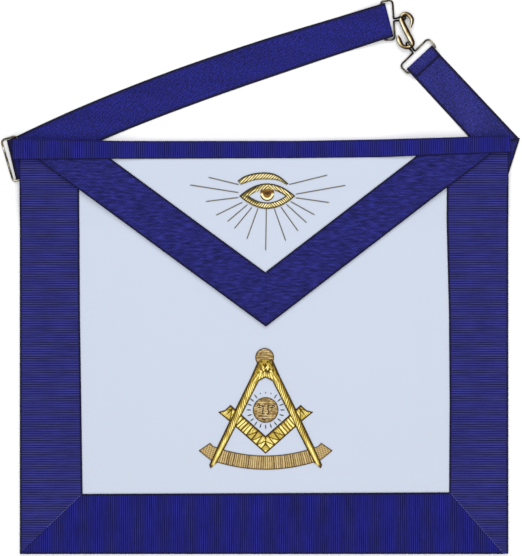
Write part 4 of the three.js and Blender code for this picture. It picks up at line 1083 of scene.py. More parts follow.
def bent_rectangle(bar_length, depth, eye):
    """Places along a ring's wire: out from its inner bar, along the bar, and its own height or None."""
    b = settings("apron_belt")
    h, r = bar_length / 2, b.ring_round
    cut = r * (1 - math.sqrt(0.5))

    def corner(out_sign, along_sign):
        out = depth if out_sign > 0 else 0.0
        return [(out, along_sign * (h - r), None), (out - out_sign * cut, along_sign * (h - cut), None),
                (out - out_sign * r, along_sign * h, None)]

    hairpin = []
    if eye:
        a = settings("apron_sizes")
        low = b.wire / 2
        high = b.wire + a.gap + b.hook_thickness + a.gap + b.wire / 2
        rows = zip(EYE_PATH["out"], EYE_PATH["side"], EYE_PATH["up"])
        hairpin = [(depth + out * b.eye_reach, side * b.eye_half + b.eye_lean * out, low + (high - low) * up)
                   for out, side, up in rows]
        mouth = b.eye_half * EYE_MOUTH
        hairpin = [(depth, 2 * b.eye_half, None), (depth, mouth, None), *hairpin,
                   (depth, -mouth, None), (depth, -2 * b.eye_half, None)]
    first_side = [(0.0, 0.0, None), *corner(-1, 1), *corner(1, 1)[::-1]]
    return [*first_side, *hairpin, *corner(1, -1), *corner(-1, -1)[::-1]]


def wire_ring(name, pivot, out, path, hand, outer_height, depth, painted_highlight):
    a, b = settings("apron_sizes"), settings("apron_belt")
    bar = b.thickness + a.gap + b.wire / 2
    along = np.array((-out[1], out[0], 0.0)) * hand
    points = []
    for far, aside, up in path:
        height = bar + (outer_height - bar) * far / depth if up is None else up
        points.append(pivot * (1, 1, 0) + out * far + along * aside + np.array((0, 0, height)))
    line = catmull(straightened(points), True, SPLINE_STEPS)
    return sweep(name, line, b.wire / 2, b.wire / 2, WIRE_SIDES, True, (WIRE_LIGHT, painted_highlight))


def snake_hook(centre):
    a, b = settings("apron_sizes"), settings("apron_belt")
    height = b.wire + a.gap + b.hook_thickness / 2
    points = np.stack((HOOK_FORM["x"], HOOK_FORM["y"], np.zeros(len(HOOK_FORM["x"]))), -1) * b.hook
    line = catmull(points, False, HOOK_STEPS) + centre * (1, 1, 0) + np.array((0, 0, height))
    at = np.linspace(0, len(points) - 1, len(line))
    wide = np.interp(at, np.arange(len(points)), HOOK_FORM["wide"]) * b.hook / 2
    deep = np.interp(at, np.arange(len(points)), HOOK_FORM["deep"]) * b.hook_thickness / 2
    return sweep("snake_clasp", line, wide, deep, HOOK_SIDES, False, HOOK_PAINTED_HIGHLIGHT)


# Raised embroidery
def nearest(points, loops):
    """Distance inwards from the outline, negative outside, and the nearest point on it."""
    best = np.full(len(points), np.inf)
    close = np.zeros_like(points)
    inside = np.zeros(len(points), bool)
    for loop in loops:
        loop = np.asarray(loop, float)
        for p, q in zip(loop, np.roll(loop, -1, 0)):
            side = q - p
            part = np.clip(((points - p) @ side) / max(side @ side, 1e-18), 0, 1)
            foot = p + part[:, None] * side
            gap = np.linalg.norm(points - foot, axis=1)
            nearer = gap < best
            best[nearer], close[nearer] = gap[nearer], foot[nearer]
            if p[1] != q[1]:
                crosses = (p[1] > points[:, 1]) != (q[1] > points[:, 1])
                at = p[0] + (points[:, 1] - p[1]) / (q[1] - p[1]) * side[0]
                inside ^= crosses & (points[:, 0] < at)
    return np.where(inside, best, -best), close


def relief(name, loops, surface, rise, tone, fine=1.0):
    """Raised work inside an outline. rise and tone take x, y and the distance from the outline."""
    spacing = settings("apron_embroidery").spacing * fine
    corners = np.concatenate([np.asarray(loop) for loop in loops])
    low, high = corners.min(0) - spacing, corners.max(0) + spacing
    nx, ny = (int(math.ceil(v)) + 1 for v in (high - low) / spacing)
    gx, gy = np.meshgrid(low[0] + np.arange(nx) * spacing, low[1] + np.arange(ny) * spacing, indexing="ij")
    flat = np.stack((gx.ravel(), gy.ravel()), -1)
    middle = (flat.reshape(nx, ny, 2)[:-1, :-1] + spacing / 2).reshape(-1, 2)
    kept = nearest(middle, loops)[0].reshape(nx - 1, ny - 1) > 0
    index = np.arange(nx * ny).reshape(nx, ny)
    quads = grid_quads(index)[kept.ravel()]
    used, inverse = np.unique(quads, return_inverse=True)
    quads = inverse.reshape(-1, 4)
    points = flat[used]
    pairs = np.concatenate([quads[:, [i, (i + 1) % 4]] for i in range(4)])
    _, first, uses = np.unique(np.sort(pairs, 1), axis=0, return_index=True, return_counts=True)
    rim = pairs[first[uses == 1]]
    distance, close = nearest(points, loops)
    on_rim = np.zeros(len(points), bool)
    on_rim[rim.ravel()] = True
    points[on_rim] = close[on_rim]
    distance = np.where(on_rim, 0, np.maximum(distance, 0))
    x, y = points.T
    base = surface(x, y) + RELIEF_LIFT
    top = np.stack((x, y, base + rise(x, y, distance)), -1)
    ids = np.nonzero(on_rim)[0]
    slot = np.full(len(points), -1)
    slot[ids] = len(points) + np.arange(len(ids))
    foot = np.stack((x[ids], y[ids], base[ids]), -1)
    walls = np.stack((rim[:, 1], rim[:, 0], slot[rim[:, 0]], slot[rim[:, 1]]), -1)
    faces = np.concatenate((quads, walls)).tolist()
    shade = tone(x, y, distance)
    # The foot keeps only part of the tone: painted shade where the work meets the cloth.
    shade = np.concatenate((shade, shade[ids] * FOOT_SHADE))
    uv = np.concatenate((points, points[ids]))
    return build(name, np.concatenate((top, foot)), faces, uv, shade, None, RELIEF_SHARP)


def emblem_point(down, out, sign=1):
    e = settings("apron_embroidery")
    return np.array((e.emblem_shift + sign * out * e.emblem, -e.emblem_drop - down * e.emblem))


def mirrored(rows):
    right = [emblem_point(down, out) for down, out in rows]
    left = [emblem_point(down, out, -1) for down, out in rows if out > 0]
    return np.array(right + left[::-1])


def circle(centre, radius):
    turn = around(CIRCLE_STEPS)
    return np.stack((centre[0] + radius * np.cos(turn), centre[1] + radius * np.sin(turn)), -1)


def eye_point(x, y):
    e = settings("apron_embroidery")
    return np.array((e.eye_shift + x * e.eye, -e.eye_drop + y * e.eye))


def quadratic(p, control, q):
    t = np.linspace(0, 1, CURVE_STEPS, endpoint=False)[:, None]
    return p * (1 - t) ** 2 + 2 * control * t * (1 - t) + q * t**2


def almond(form):
    left, right = eye_point(-form["half"], 0), eye_point(form["half"], 0)
    over, under = eye_point(0, 2 * form["top"]), eye_point(0, -2 * form["bottom"])
    return np.concatenate((quadratic(left, over, right), quadratic(right, under, left)))


def dome(distance, reach):
    part = np.clip(distance / reach, 0, 1)
    return np.sqrt(np.maximum(1 - (1 - part) ** 2, 0))


def away(x, y, line):
    """Distance from an open line."""
    line = np.asarray(line)
    return np.abs(nearest(np.stack((x, y), -1), [np.concatenate((line, line[::-1]))])[0])


def emblem_axes(x, y):
    """Place in the emblem as shares: out from its middle and down from its head, and the side's sign."""
    e = settings("apron_embroidery")
    out = (x - e.emblem_shift) / e.emblem
    down = -(y + e.emblem_drop) / e.emblem
    return np.abs(out), down, np.sign(out)


def leg_ridges(x, y):
    """Phase of the bullion wound round the legs, mirrored at the middle."""
    e = settings("apron_embroidery")
    out, down, _ = emblem_axes(x, y)
    along = (out * LEG_WAY[0] + down * LEG_WAY[1]) * e.emblem
    aside = (out * LEG_WAY[1] - down * LEG_WAY[0]) * e.emblem
    wander = 0.55 * grain(x, y, 0.0045, 3)
    return (along * LEG_SLANT[0] + aside * LEG_SLANT[1]) / e.bullion + wander


def leg_gaps(x, y):
    """Distances from the legs' outer and inner edges."""
    gaps = []
    for rows in (LEG_OUTER, LEG_INNER):
        both = [away(x, y, [emblem_point(down, out, sign) for down, out in rows]) for sign in (1, -1)]
        gaps.append(np.minimum(*both))
    return gaps


def apex_chips(x, y, down):
    """Shade of the short chips of bullion where the legs meet, and of the fan of threads below them."""
    e = settings("apron_embroidery")
    rising = grain(x + 0.6 * y, (y - 0.6 * x) * 0.42, 0.0010, 5)
    falling = grain(x - 0.6 * y, (y + 0.6 * x) * 0.42, 0.0010, 6)
    chips = 0.08 + 0.88 * step(np.maximum(rising, falling), 0.44, 0.76)
    fan = ridge(np.arctan2(x - e.emblem_shift, (down - 0.06) * e.emblem) * 6.5) ** 2
    in_fan = 0.7 * step(down, 0.135, 0.16)
    return chips * (1 - in_fan) + fan * in_fan


def build_legs(material):
    e = settings("apron_embroidery")
    outline = mirrored(LEG_OUTER + LEG_INNER)

    def rise(x, y, d):
        strokes = ridge(leg_ridges(x, y)) * step(d, 0.0001, 0.0009)
        return e.legs * (0.16 + 0.70 * dome(d, PAD_REACH["legs"])) + e.coil * strokes

    def tone(x, y, d):
        outer, inner = leg_gaps(x, y)
        across = outer / np.maximum(outer + inner, 1e-6)
        _, down, _ = emblem_axes(x, y)
        even = 0.20 * step(across, 0.40, 0.85)
        phase = leg_ridges(x, y)
        # Painted highlights on the coils and painted shade between them, with a random brightness for each
        # coil.
        coils = (0.60 + 0.46 * each_thread(phase, 29, 300)) * ridge(phase) ** 2.6
        strokes = (0.04 + even) + (1.0 - even) * coils
        apex = step(down, 0.25, 0.18)
        strokes = strokes * (1 - apex) + apex * apex_chips(x, y, down)
        # On the lower legs a painted highlight runs along the middle, with painted shade towards the sides.
        low = step(down, 0.62, 0.74)
        painted_core_highlight = 0.18 + 0.70 * np.exp(-(((across - 0.55) / 0.22) ** 2))
        strokes = strokes * (1 - 0.8 * low) + 0.8 * low * painted_core_highlight
        # Painted shade towards the outer side and along both edges.
        side = dark_to_light(0.20, across, 0.04, 0.60 - 0.20 * low)
        rim = dark_to_light(0.02, inner, 0.0004, 0.0016) * dark_to_light(0.04, outer, 0.0003, 0.0016)
        patches = 0.90 + 0.34 * grain(x, y, 0.005, 8)
        return np.clip(strokes * side * rim * patches, 0, 1)

    legs = relief("gold_compass_legs", [outline], panel_top, rise, tone)
    return finish_piece(legs, material, "gold_thread", "compass_legs")


def arm_axes(x, y):
    """Place on an arm of the square: along it from the corner and in from its outer edge."""
    e = settings("apron_embroidery")
    out, down, _ = emblem_axes(x, y)
    (corner_down, corner_out), (end_down, end_out) = SQUARE_OUTER[:2]
    way = unit((end_out - corner_out, end_down - corner_down))
    off = np.stack((out - corner_out, down - corner_down), -1) * e.emblem
    return off @ way, off @ np.array((way[1], -way[0]))


def build_square(material):
    e = settings("apron_embroidery")
    right = [emblem_point(down, out) for down, out in SQUARE_OUTER]
    left = [emblem_point(down, out, -1) for down, out in SQUARE_OUTER[1:]]
    inner = emblem_point(*SQUARE_INNER)
    outline = np.array([*right, inner, *left[::-1]])

    def segments(x, y):
        """Phase along an arm, distance from the nearest line between segments, and place across the arm."""
        along, across = arm_axes(x, y)
        phase = along / SEGMENT + 0.35 * (grain(x, y, 0.008, 12) - 0.5)
        return phase, np.abs((phase + 0.5) % 1 - 0.5) * SEGMENT, across

    def rise(x, y, d):
        groove = step(segments(x, y)[1], 0.0001, 0.0008) * step(d, 0.0001, 0.0008)
        return e.square * (0.22 + 0.55 * dome(d, PAD_REACH["square"])) + e.coil * groove

    def tone(x, y, d):
        phase, gap, across = segments(x, y)
        out, down, _ = emblem_axes(x, y)
        cell = np.floor(phase).astype(int) % 64
        lean = np.random.default_rng(33).integers(0, 3, 64)[cell]
        share_in = np.clip(across / ARM_WIDTH, 0, 1)
        slope = np.choose(lean, (share_in, 1 - share_in, 0.5 + 0 * share_in))
        slant = np.abs(phase % 1 - slope) * SEGMENT
        lines = dark_to_light(0.02, gap, 0.0001, 0.0009) * dark_to_light(0.10, slant, 0.0001, 0.0008)
        facet = np.random.default_rng(31).random(128)[2 * cell + (phase % 1 > slope)]
        # The threads paint highlights on their crests and shade between them.
        threads = ridge(phase * 3.2 + 0.9 * grain(x, y, 0.003, 14)) ** 2
        fine = (0.66 + 0.50 * facet) * (0.50 + 0.50 * threads)
        # Painted shade along the arms' inner edge and along the rim.
        shaded = dark_to_light(0.06, away(x, y, [left[-1], inner, right[-1]]), 0.0002, 0.0030)
        rim = dark_to_light(0.01, d, 0.0006, 0.0017)
        diamond = out / DIAMOND["out"] + np.abs(down - DIAMOND["down"]) / DIAMOND["high"]
        border = dark_to_light(0.08, np.abs(diamond - 1), 0.04, 0.24)
        lines = np.where(diamond < 1, 1, lines)
        seam = np.where(down < DIAMOND["seam_end"], dark_to_light(0.12, out * e.emblem, 0.0001, 0.0008), 1)
        ends = step(out, 0.30, 0.33)
        hatch = np.minimum(ridge((out + down) / 0.021), ridge((out - down) / 0.021)) ** 2
        body = (fine * lines * shaded) * (1 - ends) + ends * (0.24 + hatch)
        return np.clip(body * rim * border * seam, 0, 1)

    square = relief("gold_square", [outline], panel_top, rise, tone)
    return finish_piece(square, material, "gold_thread", "square")


def build_quadrant(material):
    e = settings("apron_embroidery")
    q = QUADRANT
    centre = q["top"] - q["bend"]
    spread = np.linspace(-q["reach"], q["reach"], QUADRANT_STEPS)
    upper, lower = (
        np.array([emblem_point(centre + math.sqrt(radius**2 - out * out), out) for out in spread])
        for radius in (q["bend"], q["bend"] + q["bottom"] - q["top"])
    )
    upper[[0, -1], 1] += q["barb"] * e.emblem
    right_tip, left_tip = emblem_point(*QUADRANT_TIP), emblem_point(*QUADRANT_TIP, -1)
    outline = np.concatenate((upper, [right_tip], lower[::-1], [left_tip]))

    def threads(x, y):
        out, down, sign = emblem_axes(x, y)
        along = np.arctan2(out * sign, down - centre) * q["bend"] * e.emblem
        return along / e.band_thread + 0.25 * grain(x, y, 0.004, 22)

    def rise(x, y, d):
        pad = e.quadrant * (0.35 + 0.45 * dome(d, PAD_REACH["quadrant"]))
        return pad + FINE_DEPTH * ridge(threads(x, y))

    def tone(x, y, d):
        phase = threads(x, y)
        out, down, _ = emblem_axes(x, y)
        # The threads paint highlights on their crests and shade between them, with a random tone for each
        # thread.
        streak = 0.08 + 0.78 * ridge(phase) ** 2 + 0.26 * (each_thread(phase, 21, 400) - 0.5)
        breaks = grain(phase * 0.002, down * e.emblem, 0.0018, 23)
        streak = streak * (0.86 + 0.25 * breaks)
        ends = step(out, 0.375, 0.40)
        hatch = np.minimum(ridge((out * 0.3 + down) / 0.0165), ridge((out - down * 0.3) / 0.021))
        streak = streak * (1 - ends) + ends * (0.16 + 0.74 * hatch)
        marked = each_thread(phase, 27, 400) > 0.86
        seams = np.where(ends > 0.5, 1, 1 - 0.80 * marked * (phase % 1 < 0.38))
        # Painted shade along the edges.
        return np.clip(streak * seams * dark_to_light(0.06, d, 0.0002, 0.0012), 0, 1)

    quadrant = relief("gold_quadrant", [outline], panel_top, rise, tone)
    return finish_piece(quadrant, material, "gold_thread", "quadrant")


def disc_piece(name, centre, radius, height, material, node, seed, painted_highlights=()):
    """A round of threads laid side by side. Each spot, in shares of the radius, gets a painted highlight."""
    e = settings("apron_embroidery")

    def rise(x, y, d):
        rows = ridge((y - centre[1]) / e.thread)
        pad = height * (0.40 + 0.42 * dome(d, radius * 0.75))
        return pad + DISC_DEPTH * rows * np.clip(d / 0.0006, 0, 1)

    def tone(x, y, d):
        rows = (y - centre[1]) / e.thread
        breaks = grain(x + 0.003 * np.floor(rows), y, 0.0016, seed + 1)
        single = each_thread(rows, seed, 64)
        # The rows paint highlights on the threads and shade between them, with random tone for each thread
        # and its breaks.
        streak = 0.12 + 0.60 * ridge(rows) ** 2 + 0.20 * (single - 0.5) + 0.80 * (breaks - 0.5)
        # Painted highlights at the spots.
        for spot_x, spot_y, size in painted_highlights:
            far = np.hypot(x - centre[0] - spot_x * radius, y - centre[1] - spot_y * radius) / (size * radius)
            streak = streak + 0.75 * np.exp(-(far**2))
        # Painted shade along the edge.
        return np.clip(streak * dark_to_light(0.06, d, 0.0002, 0.0012), 0, 1)

    piece = relief(name, [circle(centre, radius)], panel_top, rise, tone, fine=0.8)
    return finish_piece(piece, material, "gold_thread", node)


def stitches(name, lines, surface, width, height, material, slot="gold_thread"):
    """Thin raised lines of thread in one mesh."""
    points, faces, uv = [], [], []
    turn = around(STITCH_SIDES)
    first = 0
    for line in lines:
        line = np.asarray(line, float)
        size = np.linalg.norm(np.diff(line, axis=0), axis=1).sum()
        if len(line) > 2:
            line = catmull(np.column_stack((line, np.zeros(len(line)))), False, SPLINE_STEPS)[:, :2]
        count = max(3, int(size / STITCH_STEP) + 1)
        run = np.concatenate(((0,), np.cumsum(np.linalg.norm(np.diff(line, axis=0), axis=1))))
        at = np.linspace(0, run[-1], count)
        line = np.stack((np.interp(at, run, line[:, 0]), np.interp(at, run, line[:, 1])), -1)
        z = surface(line[:, 0], line[:, 1])
        ahead = np.gradient(line, axis=0)
        aside = np.stack((-ahead[:, 1], ahead[:, 0]), -1) / np.linalg.norm(ahead, axis=1)[:, None]
        taper = np.minimum(1, np.minimum(at, run[-1] - at) / (width * 0.5) * 0.7 + 0.3)
        ring = np.zeros((count, STITCH_SIDES, 3))
        out = taper[:, None] * width / 2 * np.cos(turn)
        ring[..., :2] = line[:, None] + aside[:, None] * out[..., None]
        ring[..., 2] = z[:, None] + height / 2 + taper[:, None] * height / 2 * np.sin(turn)
        index = first + np.arange(count * STITCH_SIDES).reshape(count, STITCH_SIDES)
        closed = np.concatenate((index, index[:, :1]), 1)
        faces.extend(grid_quads(closed)[:, ::-1].tolist())
        faces.append(index[0].tolist())
        faces.append(index[-1, ::-1].tolist())
        points.append(ring.reshape(-1, 3))
        uv.append(np.stack((np.tile(turn, count) * width, np.repeat(at, STITCH_SIDES)), -1))
        first += count * STITCH_SIDES
    piece = build(name, np.concatenate(points), faces, np.concatenate(uv))
    return finish_piece(piece, material, slot)


def mitre_stitches(material):
    """Stitches along both mitres of the border, on the side ribbons."""
    a = settings("apron_sizes")
    strokes = []
    for side, sign in SIGNS.items():
        low, high = MITRE_STITCHED[side]
        head_y, head_in = mitre_head(side)
        foot = np.array((sign * (half() - mitre_foot(side)), -a.height))
        head = np.array((sign * (half() - head_in), head_y))
        aside = np.array((sign * MITRE_ASIDE, 0))
        count = int(np.linalg.norm(head - foot) * (high - low) / a.mitre_stitch)
        for part in np.linspace(low, high, count, endpoint=False):
            reach = 0.5 * (high - low) / count
            strokes.append([foot + (head - foot) * at + aside for at in (part, part + reach)])

    def surface(x, y):
        return border_under(x, y) + a.ribbon - MITRE_SINK

    return stitches("mitre_stitches", strokes, surface, *MITRE_THREAD, material, "blue_ribbon")


def satin(x, y, lean):
    """Phase of the eye's stitches, which lean from the horizontal."""
    return (x * lean + y) / (SATIN_PITCH * math.hypot(1, lean))


def build_lids(material):
    e = settings("apron_embroidery")

    def rise(x, y, d):
        return e.lids * (0.20 + 0.60 * dome(d, PAD_REACH["lids"])) + 0.7 * e.coil * ridge(satin(x, y, 0.9))

    def tone(x, y, d):
        points = np.stack((x, y), -1)
        outer = np.abs(nearest(points, [almond(LIDS_OUTER)])[0])
        inner = np.abs(nearest(points, [almond(LIDS_INNER)])[0])
        across = outer / np.maximum(outer + inner, 1e-6)
        up = step(y + e.eye_drop, -0.001, 0.001)
        left = step(e.eye_shift - x, 0.003, 0.010)
        right = step(x - e.eye_shift, 0.004, 0.010)
        turn = step(x - e.eye_shift, -0.002, 0.006)
        wander = 0.5 * grain(x, y, 0.0035, 35)
        # The stitches paint highlights on their crests and shade between them.
        falling, rising = (ridge(satin(x, y, lean) + wander) ** 3 for lean in (-1.1, 1.1))
        weave = falling * (1 - turn) + rising * turn
        body = 0.02 + weave
        dark = up * left * (1 - step(across, 0.40, 0.70)) + (1 - up) * left * step(across, 0.35, 0.65)
        body = body * (1 - 0.72 * dark)
        # Painted shade along the outer edge and, on the lower lid and the right, along the inner edge.
        body = body * (1 - (0.98 * up + 0.70 * (1 - up)) * (1 - step(outer, 0.0006, 0.0018)))
        body = body * (1 - np.maximum(0.92 * (1 - up), 0.8 * right) * (1 - step(inner, 0.0004, 0.0015)))
        return np.clip(body * (0.80 + 0.4 * grain(x, y, 0.0016, 31)), 0, 1)

    lids = relief("gold_eye_lids", [almond(LIDS_OUTER), almond(LIDS_INNER)], flap_top, rise, tone, fine=0.85)
    return finish_piece(lids, material, "gold_thread", "eye_lids")


def build_brow(material):
    e = settings("apron_embroidery")
    edges = (BROW_TOP, BROW_LOW)
    over, under = (catmull([eye_point(*row) for row in rows], False, SPLINE_STEPS) for rows in edges)

    def rise(x, y, d):
        return e.lids * (0.22 + 0.58 * dome(d, PAD_REACH["brow"])) + FINE_DEPTH * ridge(satin(x, y, -1.0))

    def tone(x, y, d):
        # The stitches paint highlights on their crests and shade between them.
        body = 0.06 + 0.94 * ridge(satin(x, y, -1.0)) ** 3
        dots = ridge(satin(x, y, -1.0) / 2) ** 2
        # Painted shade along the upper and lower edges.
        body = body * dark_to_light(0.01, away(x, y, over), 0.0006, 0.0019)
        body = body * (1 - (1 - step(away(x, y, under), 0.0004, 0.0016)) * (0.96 - 0.8 * dots))
        return np.clip(body * (0.80 + 0.4 * grain(x, y, 0.0014, 33)), 0, 1)

    brow = relief("gold_eye_brow", [np.concatenate((over, under))], flap_top, rise, tone, fine=0.85)
    return finish_piece(brow, material, "gold_thread", "eye_brow")


def iris_outline(centre, radius):
    """The iris's circle, cut off where the lids begin."""
    start = centre - eye_point(0, 0.02) + eye_point(0, 0)
    turn = around(CIRCLE_STEPS)
    way = np.stack((np.cos(turn), np.sin(turn)), -1)
    reach = np.linspace(0.05, 1, IRIS_STEPS) * radius * 1.3
    tries = start + way[:, None, :] * reach[None, :, None]
    in_white = nearest(tries.reshape(-1, 2), [almond(LIDS_INNER)])[0].reshape(tries.shape[:2]) > 0.0002
    inside = in_white & (np.linalg.norm(tries - centre, axis=2) < radius)
    last = [-1 if row.all() else np.argmin(row) for row in inside]
    return start + way * reach[last][:, None]


def build_iris(material):
    e = settings("apron_embroidery")
    centre = eye_point(0, IRIS["up"])
    radius = IRIS["radius"] * e.eye

    def rise(x, y, d):
        return e.iris * (0.3 + 0.6 * dome(d, PAD_REACH["iris"]))

    def tone(x, y, d):
        right, up = x - centre[0], y - centre[1]
        pupil = step(np.hypot(right - 0.0002, up - 0.0002), 0.0004, 0.0013)
        crescent = step(np.hypot(right, up) / radius, 0.50, 0.68) * step(up, 0.0018, -0.0008)
        brown = 0.13 + 0.16 * step(np.abs(up - 0.0008), 0.0002, 0.0026)
        body = brown * (1 - crescent) + 0.95 * crescent
        # Painted shade along the lower edge.
        rim = 1 - 0.95 * (1 - step(d, 0.0004, 0.0013)) * step(up, -0.0004, -0.0026)
        return np.clip(body * rim * (0.10 + 0.90 * pupil), 0, 1)

    iris = relief("gold_eye_iris", [iris_outline(centre, radius)], flap_top, rise, tone, fine=0.6)
    return finish_piece(iris, material, "gold_thread", "eye_iris")


# Materials
class Value:
    """A number in a shader. Arithmetic on it adds Math nodes."""

    def __init__(self, look, socket):
        self.look, self.socket = look, socket

    def math(self, operation, *values, clamp=False):
        inputs = dict(enumerate(values))
        node = self.look.node("ShaderNodeMath", inputs, operation=operation, use_clamp=clamp)
        return Value(self.look, node.outputs[0])

    def __add__(self, other):
        return self.math("ADD", self, other)

    __radd__ = __add__

    def __sub__(self, other):
        return self.math("SUBTRACT", self, other)

    def __rsub__(self, other):
        return self.math("SUBTRACT", other, self)

    def __mul__(self, other):
        return self.math("MULTIPLY", self, other)

    __rmul__ = __mul__

    def __pow__(self, other):
        return self.math("POWER", self, other)

    def __rpow__(self, other):
        return self.math("POWER", other, self)

    def sine(self):
        return self.math("SINE", self)

    def clamped(self):
        return self.math("ADD", self, 0.0, clamp=True)

    def ramp(self, low, high):
        """0 below low, 1 above high, smooth in between."""
        inputs = {"Value": self, "From Min": low, "From Max": high}
        node = self.look.node("ShaderNodeMapRange", inputs, interpolation_type="SMOOTHSTEP")
        return Value(self.look, node.outputs["Result"])


class Look:
    """A material and the nodes that it is made with."""

    def __init__(self, name):
        self.material = bpy.data.materials.new(name)
        self.material.use_nodes = True
        self.tree = self.material.node_tree
        self.tree.nodes.clear()
        self.shader = self.node("ShaderNodeBsdfPrincipled")
        self.node("ShaderNodeOutputMaterial", {"Surface": self.shader.outputs[0]})

    def node(self, kind, inputs=None, **options):
        """A node of a kind: its options are set first, then the values or links of its inputs."""
        node = self.tree.nodes.new(kind)
        for key, value in options.items():
            setattr(node, key, value)
        for key, value in (inputs or {}).items():
            self.set(node.inputs[key], value)
        return node

    def set(self, socket, value):
        if isinstance(value, Value):
            value = value.socket
        if isinstance(value, bpy.types.NodeSocket):
            self.tree.links.new(value, socket)
        elif hasattr(value, "__len__") and len(value) == 3 and socket.type == "RGBA":
            socket.default_value = (*value, 1)
        else:
            socket.default_value = value

    def value(self, socket):
        return Value(self, socket)

    def attribute(self, name):
        return self.value(self.node("ShaderNodeAttribute", attribute_name=name).outputs["Fac"])

    def places(self):
        """Across and along of the sheet in metres."""
        split = self.node("ShaderNodeSeparateXYZ", {0: self.node("ShaderNodeUVMap", uv_map="lie").outputs[0]})
        return self.value(split.outputs[0]), self.value(split.outputs[1])

    def point(self, x, y):
        return self.node("ShaderNodeCombineXYZ", {0: x, 1: y}).outputs[0]

    def noise(self, vector, scale, detail=2.0, roughness=0.5):
        inputs = {"Vector": vector, "Scale": scale, "Detail": detail, "Roughness": roughness}
        return self.value(self.node("ShaderNodeTexNoise", inputs).outputs["Fac"])

    def mix(self, factor, a, b):
        made = self.node("ShaderNodeMix", data_type="RGBA", clamp_factor=True)
        self.set(made.inputs[0], factor)
        self.set(made.inputs[6], a)
        self.set(made.inputs[7], b)
        return made.outputs[2]

    def blue_cloth(self, level, base, edge, edge_shade_reach):
        """Cloth lighter and darker than its base by its level of painted highlight and shade, with painted
        shade along its edges.
        """
        body = self.mix((level * 0.8).clamped(), base, [x * 2.6 + 0.006 for x in base])
        body = self.mix((level * -1.1).clamped(), body, [x * 0.22 for x in base])
        return self.mix(1.0 - edge.ramp(*edge_shade_reach), body, settings("apron_colours").ribbon_edge_shade)

    def bump(self, height, strength, distance):
        made = self.node("ShaderNodeBump", {"Height": height, "Strength": strength, "Distance": distance})
        self.set(self.shader.inputs["Normal"], made.outputs[0])

    def finish(self, **values):
        names = {
            "colour": "Base Color",
            "roughness": "Roughness",
            "metallic": "Metallic",
            "specular": "Specular IOR Level",
        }
        for key, value in values.items():
            self.set(self.shader.inputs[names[key]], value)
        return self.material


def leather_look():
    c = settings("apron_colours")
    look = Look("white_leather")
    spot = look.point(*look.places())
    cloud = look.noise(spot, scale=14.0)
    pores = look.noise(spot, scale=1900.0)
    darker, lighter = [x * 0.985 for x in c.leather], [min(x * 1.02, 1) for x in c.leather]
    shade = look.mix((cloud - 0.5) * 0.5 + 0.5, darker, lighter)
    look.bump(pores, strength=0.10, distance=0.0002)
    return look.finish(colour=shade, roughness=(cloud * 0.1) + 0.55, specular=0.25)


def ribbon_look(name, base, contrast, sheen, lean, streaks):
    """Ribbed blue ribbon with painted highlights on its ribs, painted shade in its grooves and along its
    edges, and a wandering painted sheen.
    """
    look = Look(name)
    u, v = look.places()
    rib, edge = look.attribute("tone"), look.attribute("edge")
    cloud = look.noise(look.point(u + v * lean, v - u * lean), scale=38.0, detail=3.0, roughness=0.6)
    streak = look.noise(look.point(u * 0.06, v), scale=620.0, roughness=0.7)
    fine = look.noise(look.point(u, v), scale=1500.0, detail=1.0)
    split = look.node("ShaderNodeSeparateXYZ", {0: look.node("ShaderNodeTexCoord").outputs["Object"]})
    x, y = look.value(split.outputs[0]), look.value(split.outputs[1])
    across = look.noise(look.point(x * 0.2, y), scale=620.0, detail=1.0)
    fading = look.noise(look.point(u * 0.5, v + u * 0.04), scale=75.0, roughness=0.6).ramp(0.30, 0.70)
    # The ribs paint highlights on their crests and shade in their grooves, the cloud and the level streaks
    # paint sheen, and streak and fine add random tone.
    level = (rib ** 2.6 - 0.62) * (fading * 1.1 + 0.45) * contrast + (cloud - 0.5) * sheen
    level = level + (streak - 0.5) * contrast + (fine - 0.5) * 0.3 + (across - 0.5) * streaks
    body = look.blue_cloth(level, base, edge, RIBBON_EDGE_SHADE)
    look.bump(streak + fine, strength=0.30, distance=0.0001)
    return look.finish(colour=body, roughness=0.65, specular=0.10)


def webbing_look(name, base, degrees):
    """Tight plain weave with a fine painted sheen that leans by some degrees from the strap's length, and
    painted shade along its edges, fold and hem.
    """
    look = Look(name)
    u, v = look.places()
    edge = look.attribute("edge")
    cloud = look.noise(look.point(u + v * 0.4, v * 0.3), scale=45.0)
    along, aside = math.cos(math.radians(degrees)), math.sin(math.radians(degrees))
    slow, fast = u * aside + v * along, u * along - v * aside
    diagonal = look.noise(look.point(slow * 0.3, fast), scale=900.0, roughness=0.6)
    fine = look.noise(look.point(u, v), scale=1020.0, roughness=0.7)
    warp = (u * (math.tau / YARN)).sine()
    weft = (v * (math.tau / YARN)).sine()
    twill = (fast * (math.tau / TWILL) + cloud * 9.0).sine()
    # The diagonal noise paints the leaning sheen.
    level = (cloud - 0.5) * 0.9 + (diagonal - 0.5) * 2.2 + (fine - 0.5) * 5.6
    level = level + twill * 0.10 + warp * weft * 0.2
    body = look.blue_cloth(level, base, edge, WEBBING_EDGE_SHADE)
    look.bump(warp * weft + fine, strength=0.35, distance=0.0001)
    return look.finish(colour=body, roughness=0.6, specular=0.12)


def thread_look(name, dark, body, light, metallic, roughness):
    look = Look(name)
    u, v = look.places()
    tone = look.attribute("tone")
    fine = look.noise(look.point(u, v), scale=900.0, roughness=0.6)
    level = tone + (fine - 0.5) * 0.22
    shade = look.mix(level.ramp(0.05, 0.50), dark, body)
    shade = look.mix(level.ramp(0.50, 0.92), shade, light)
    look.bump(fine, strength=0.25, distance=0.00012)
    return look.finish(colour=shade, roughness=roughness, metallic=metallic, specular=0.2)


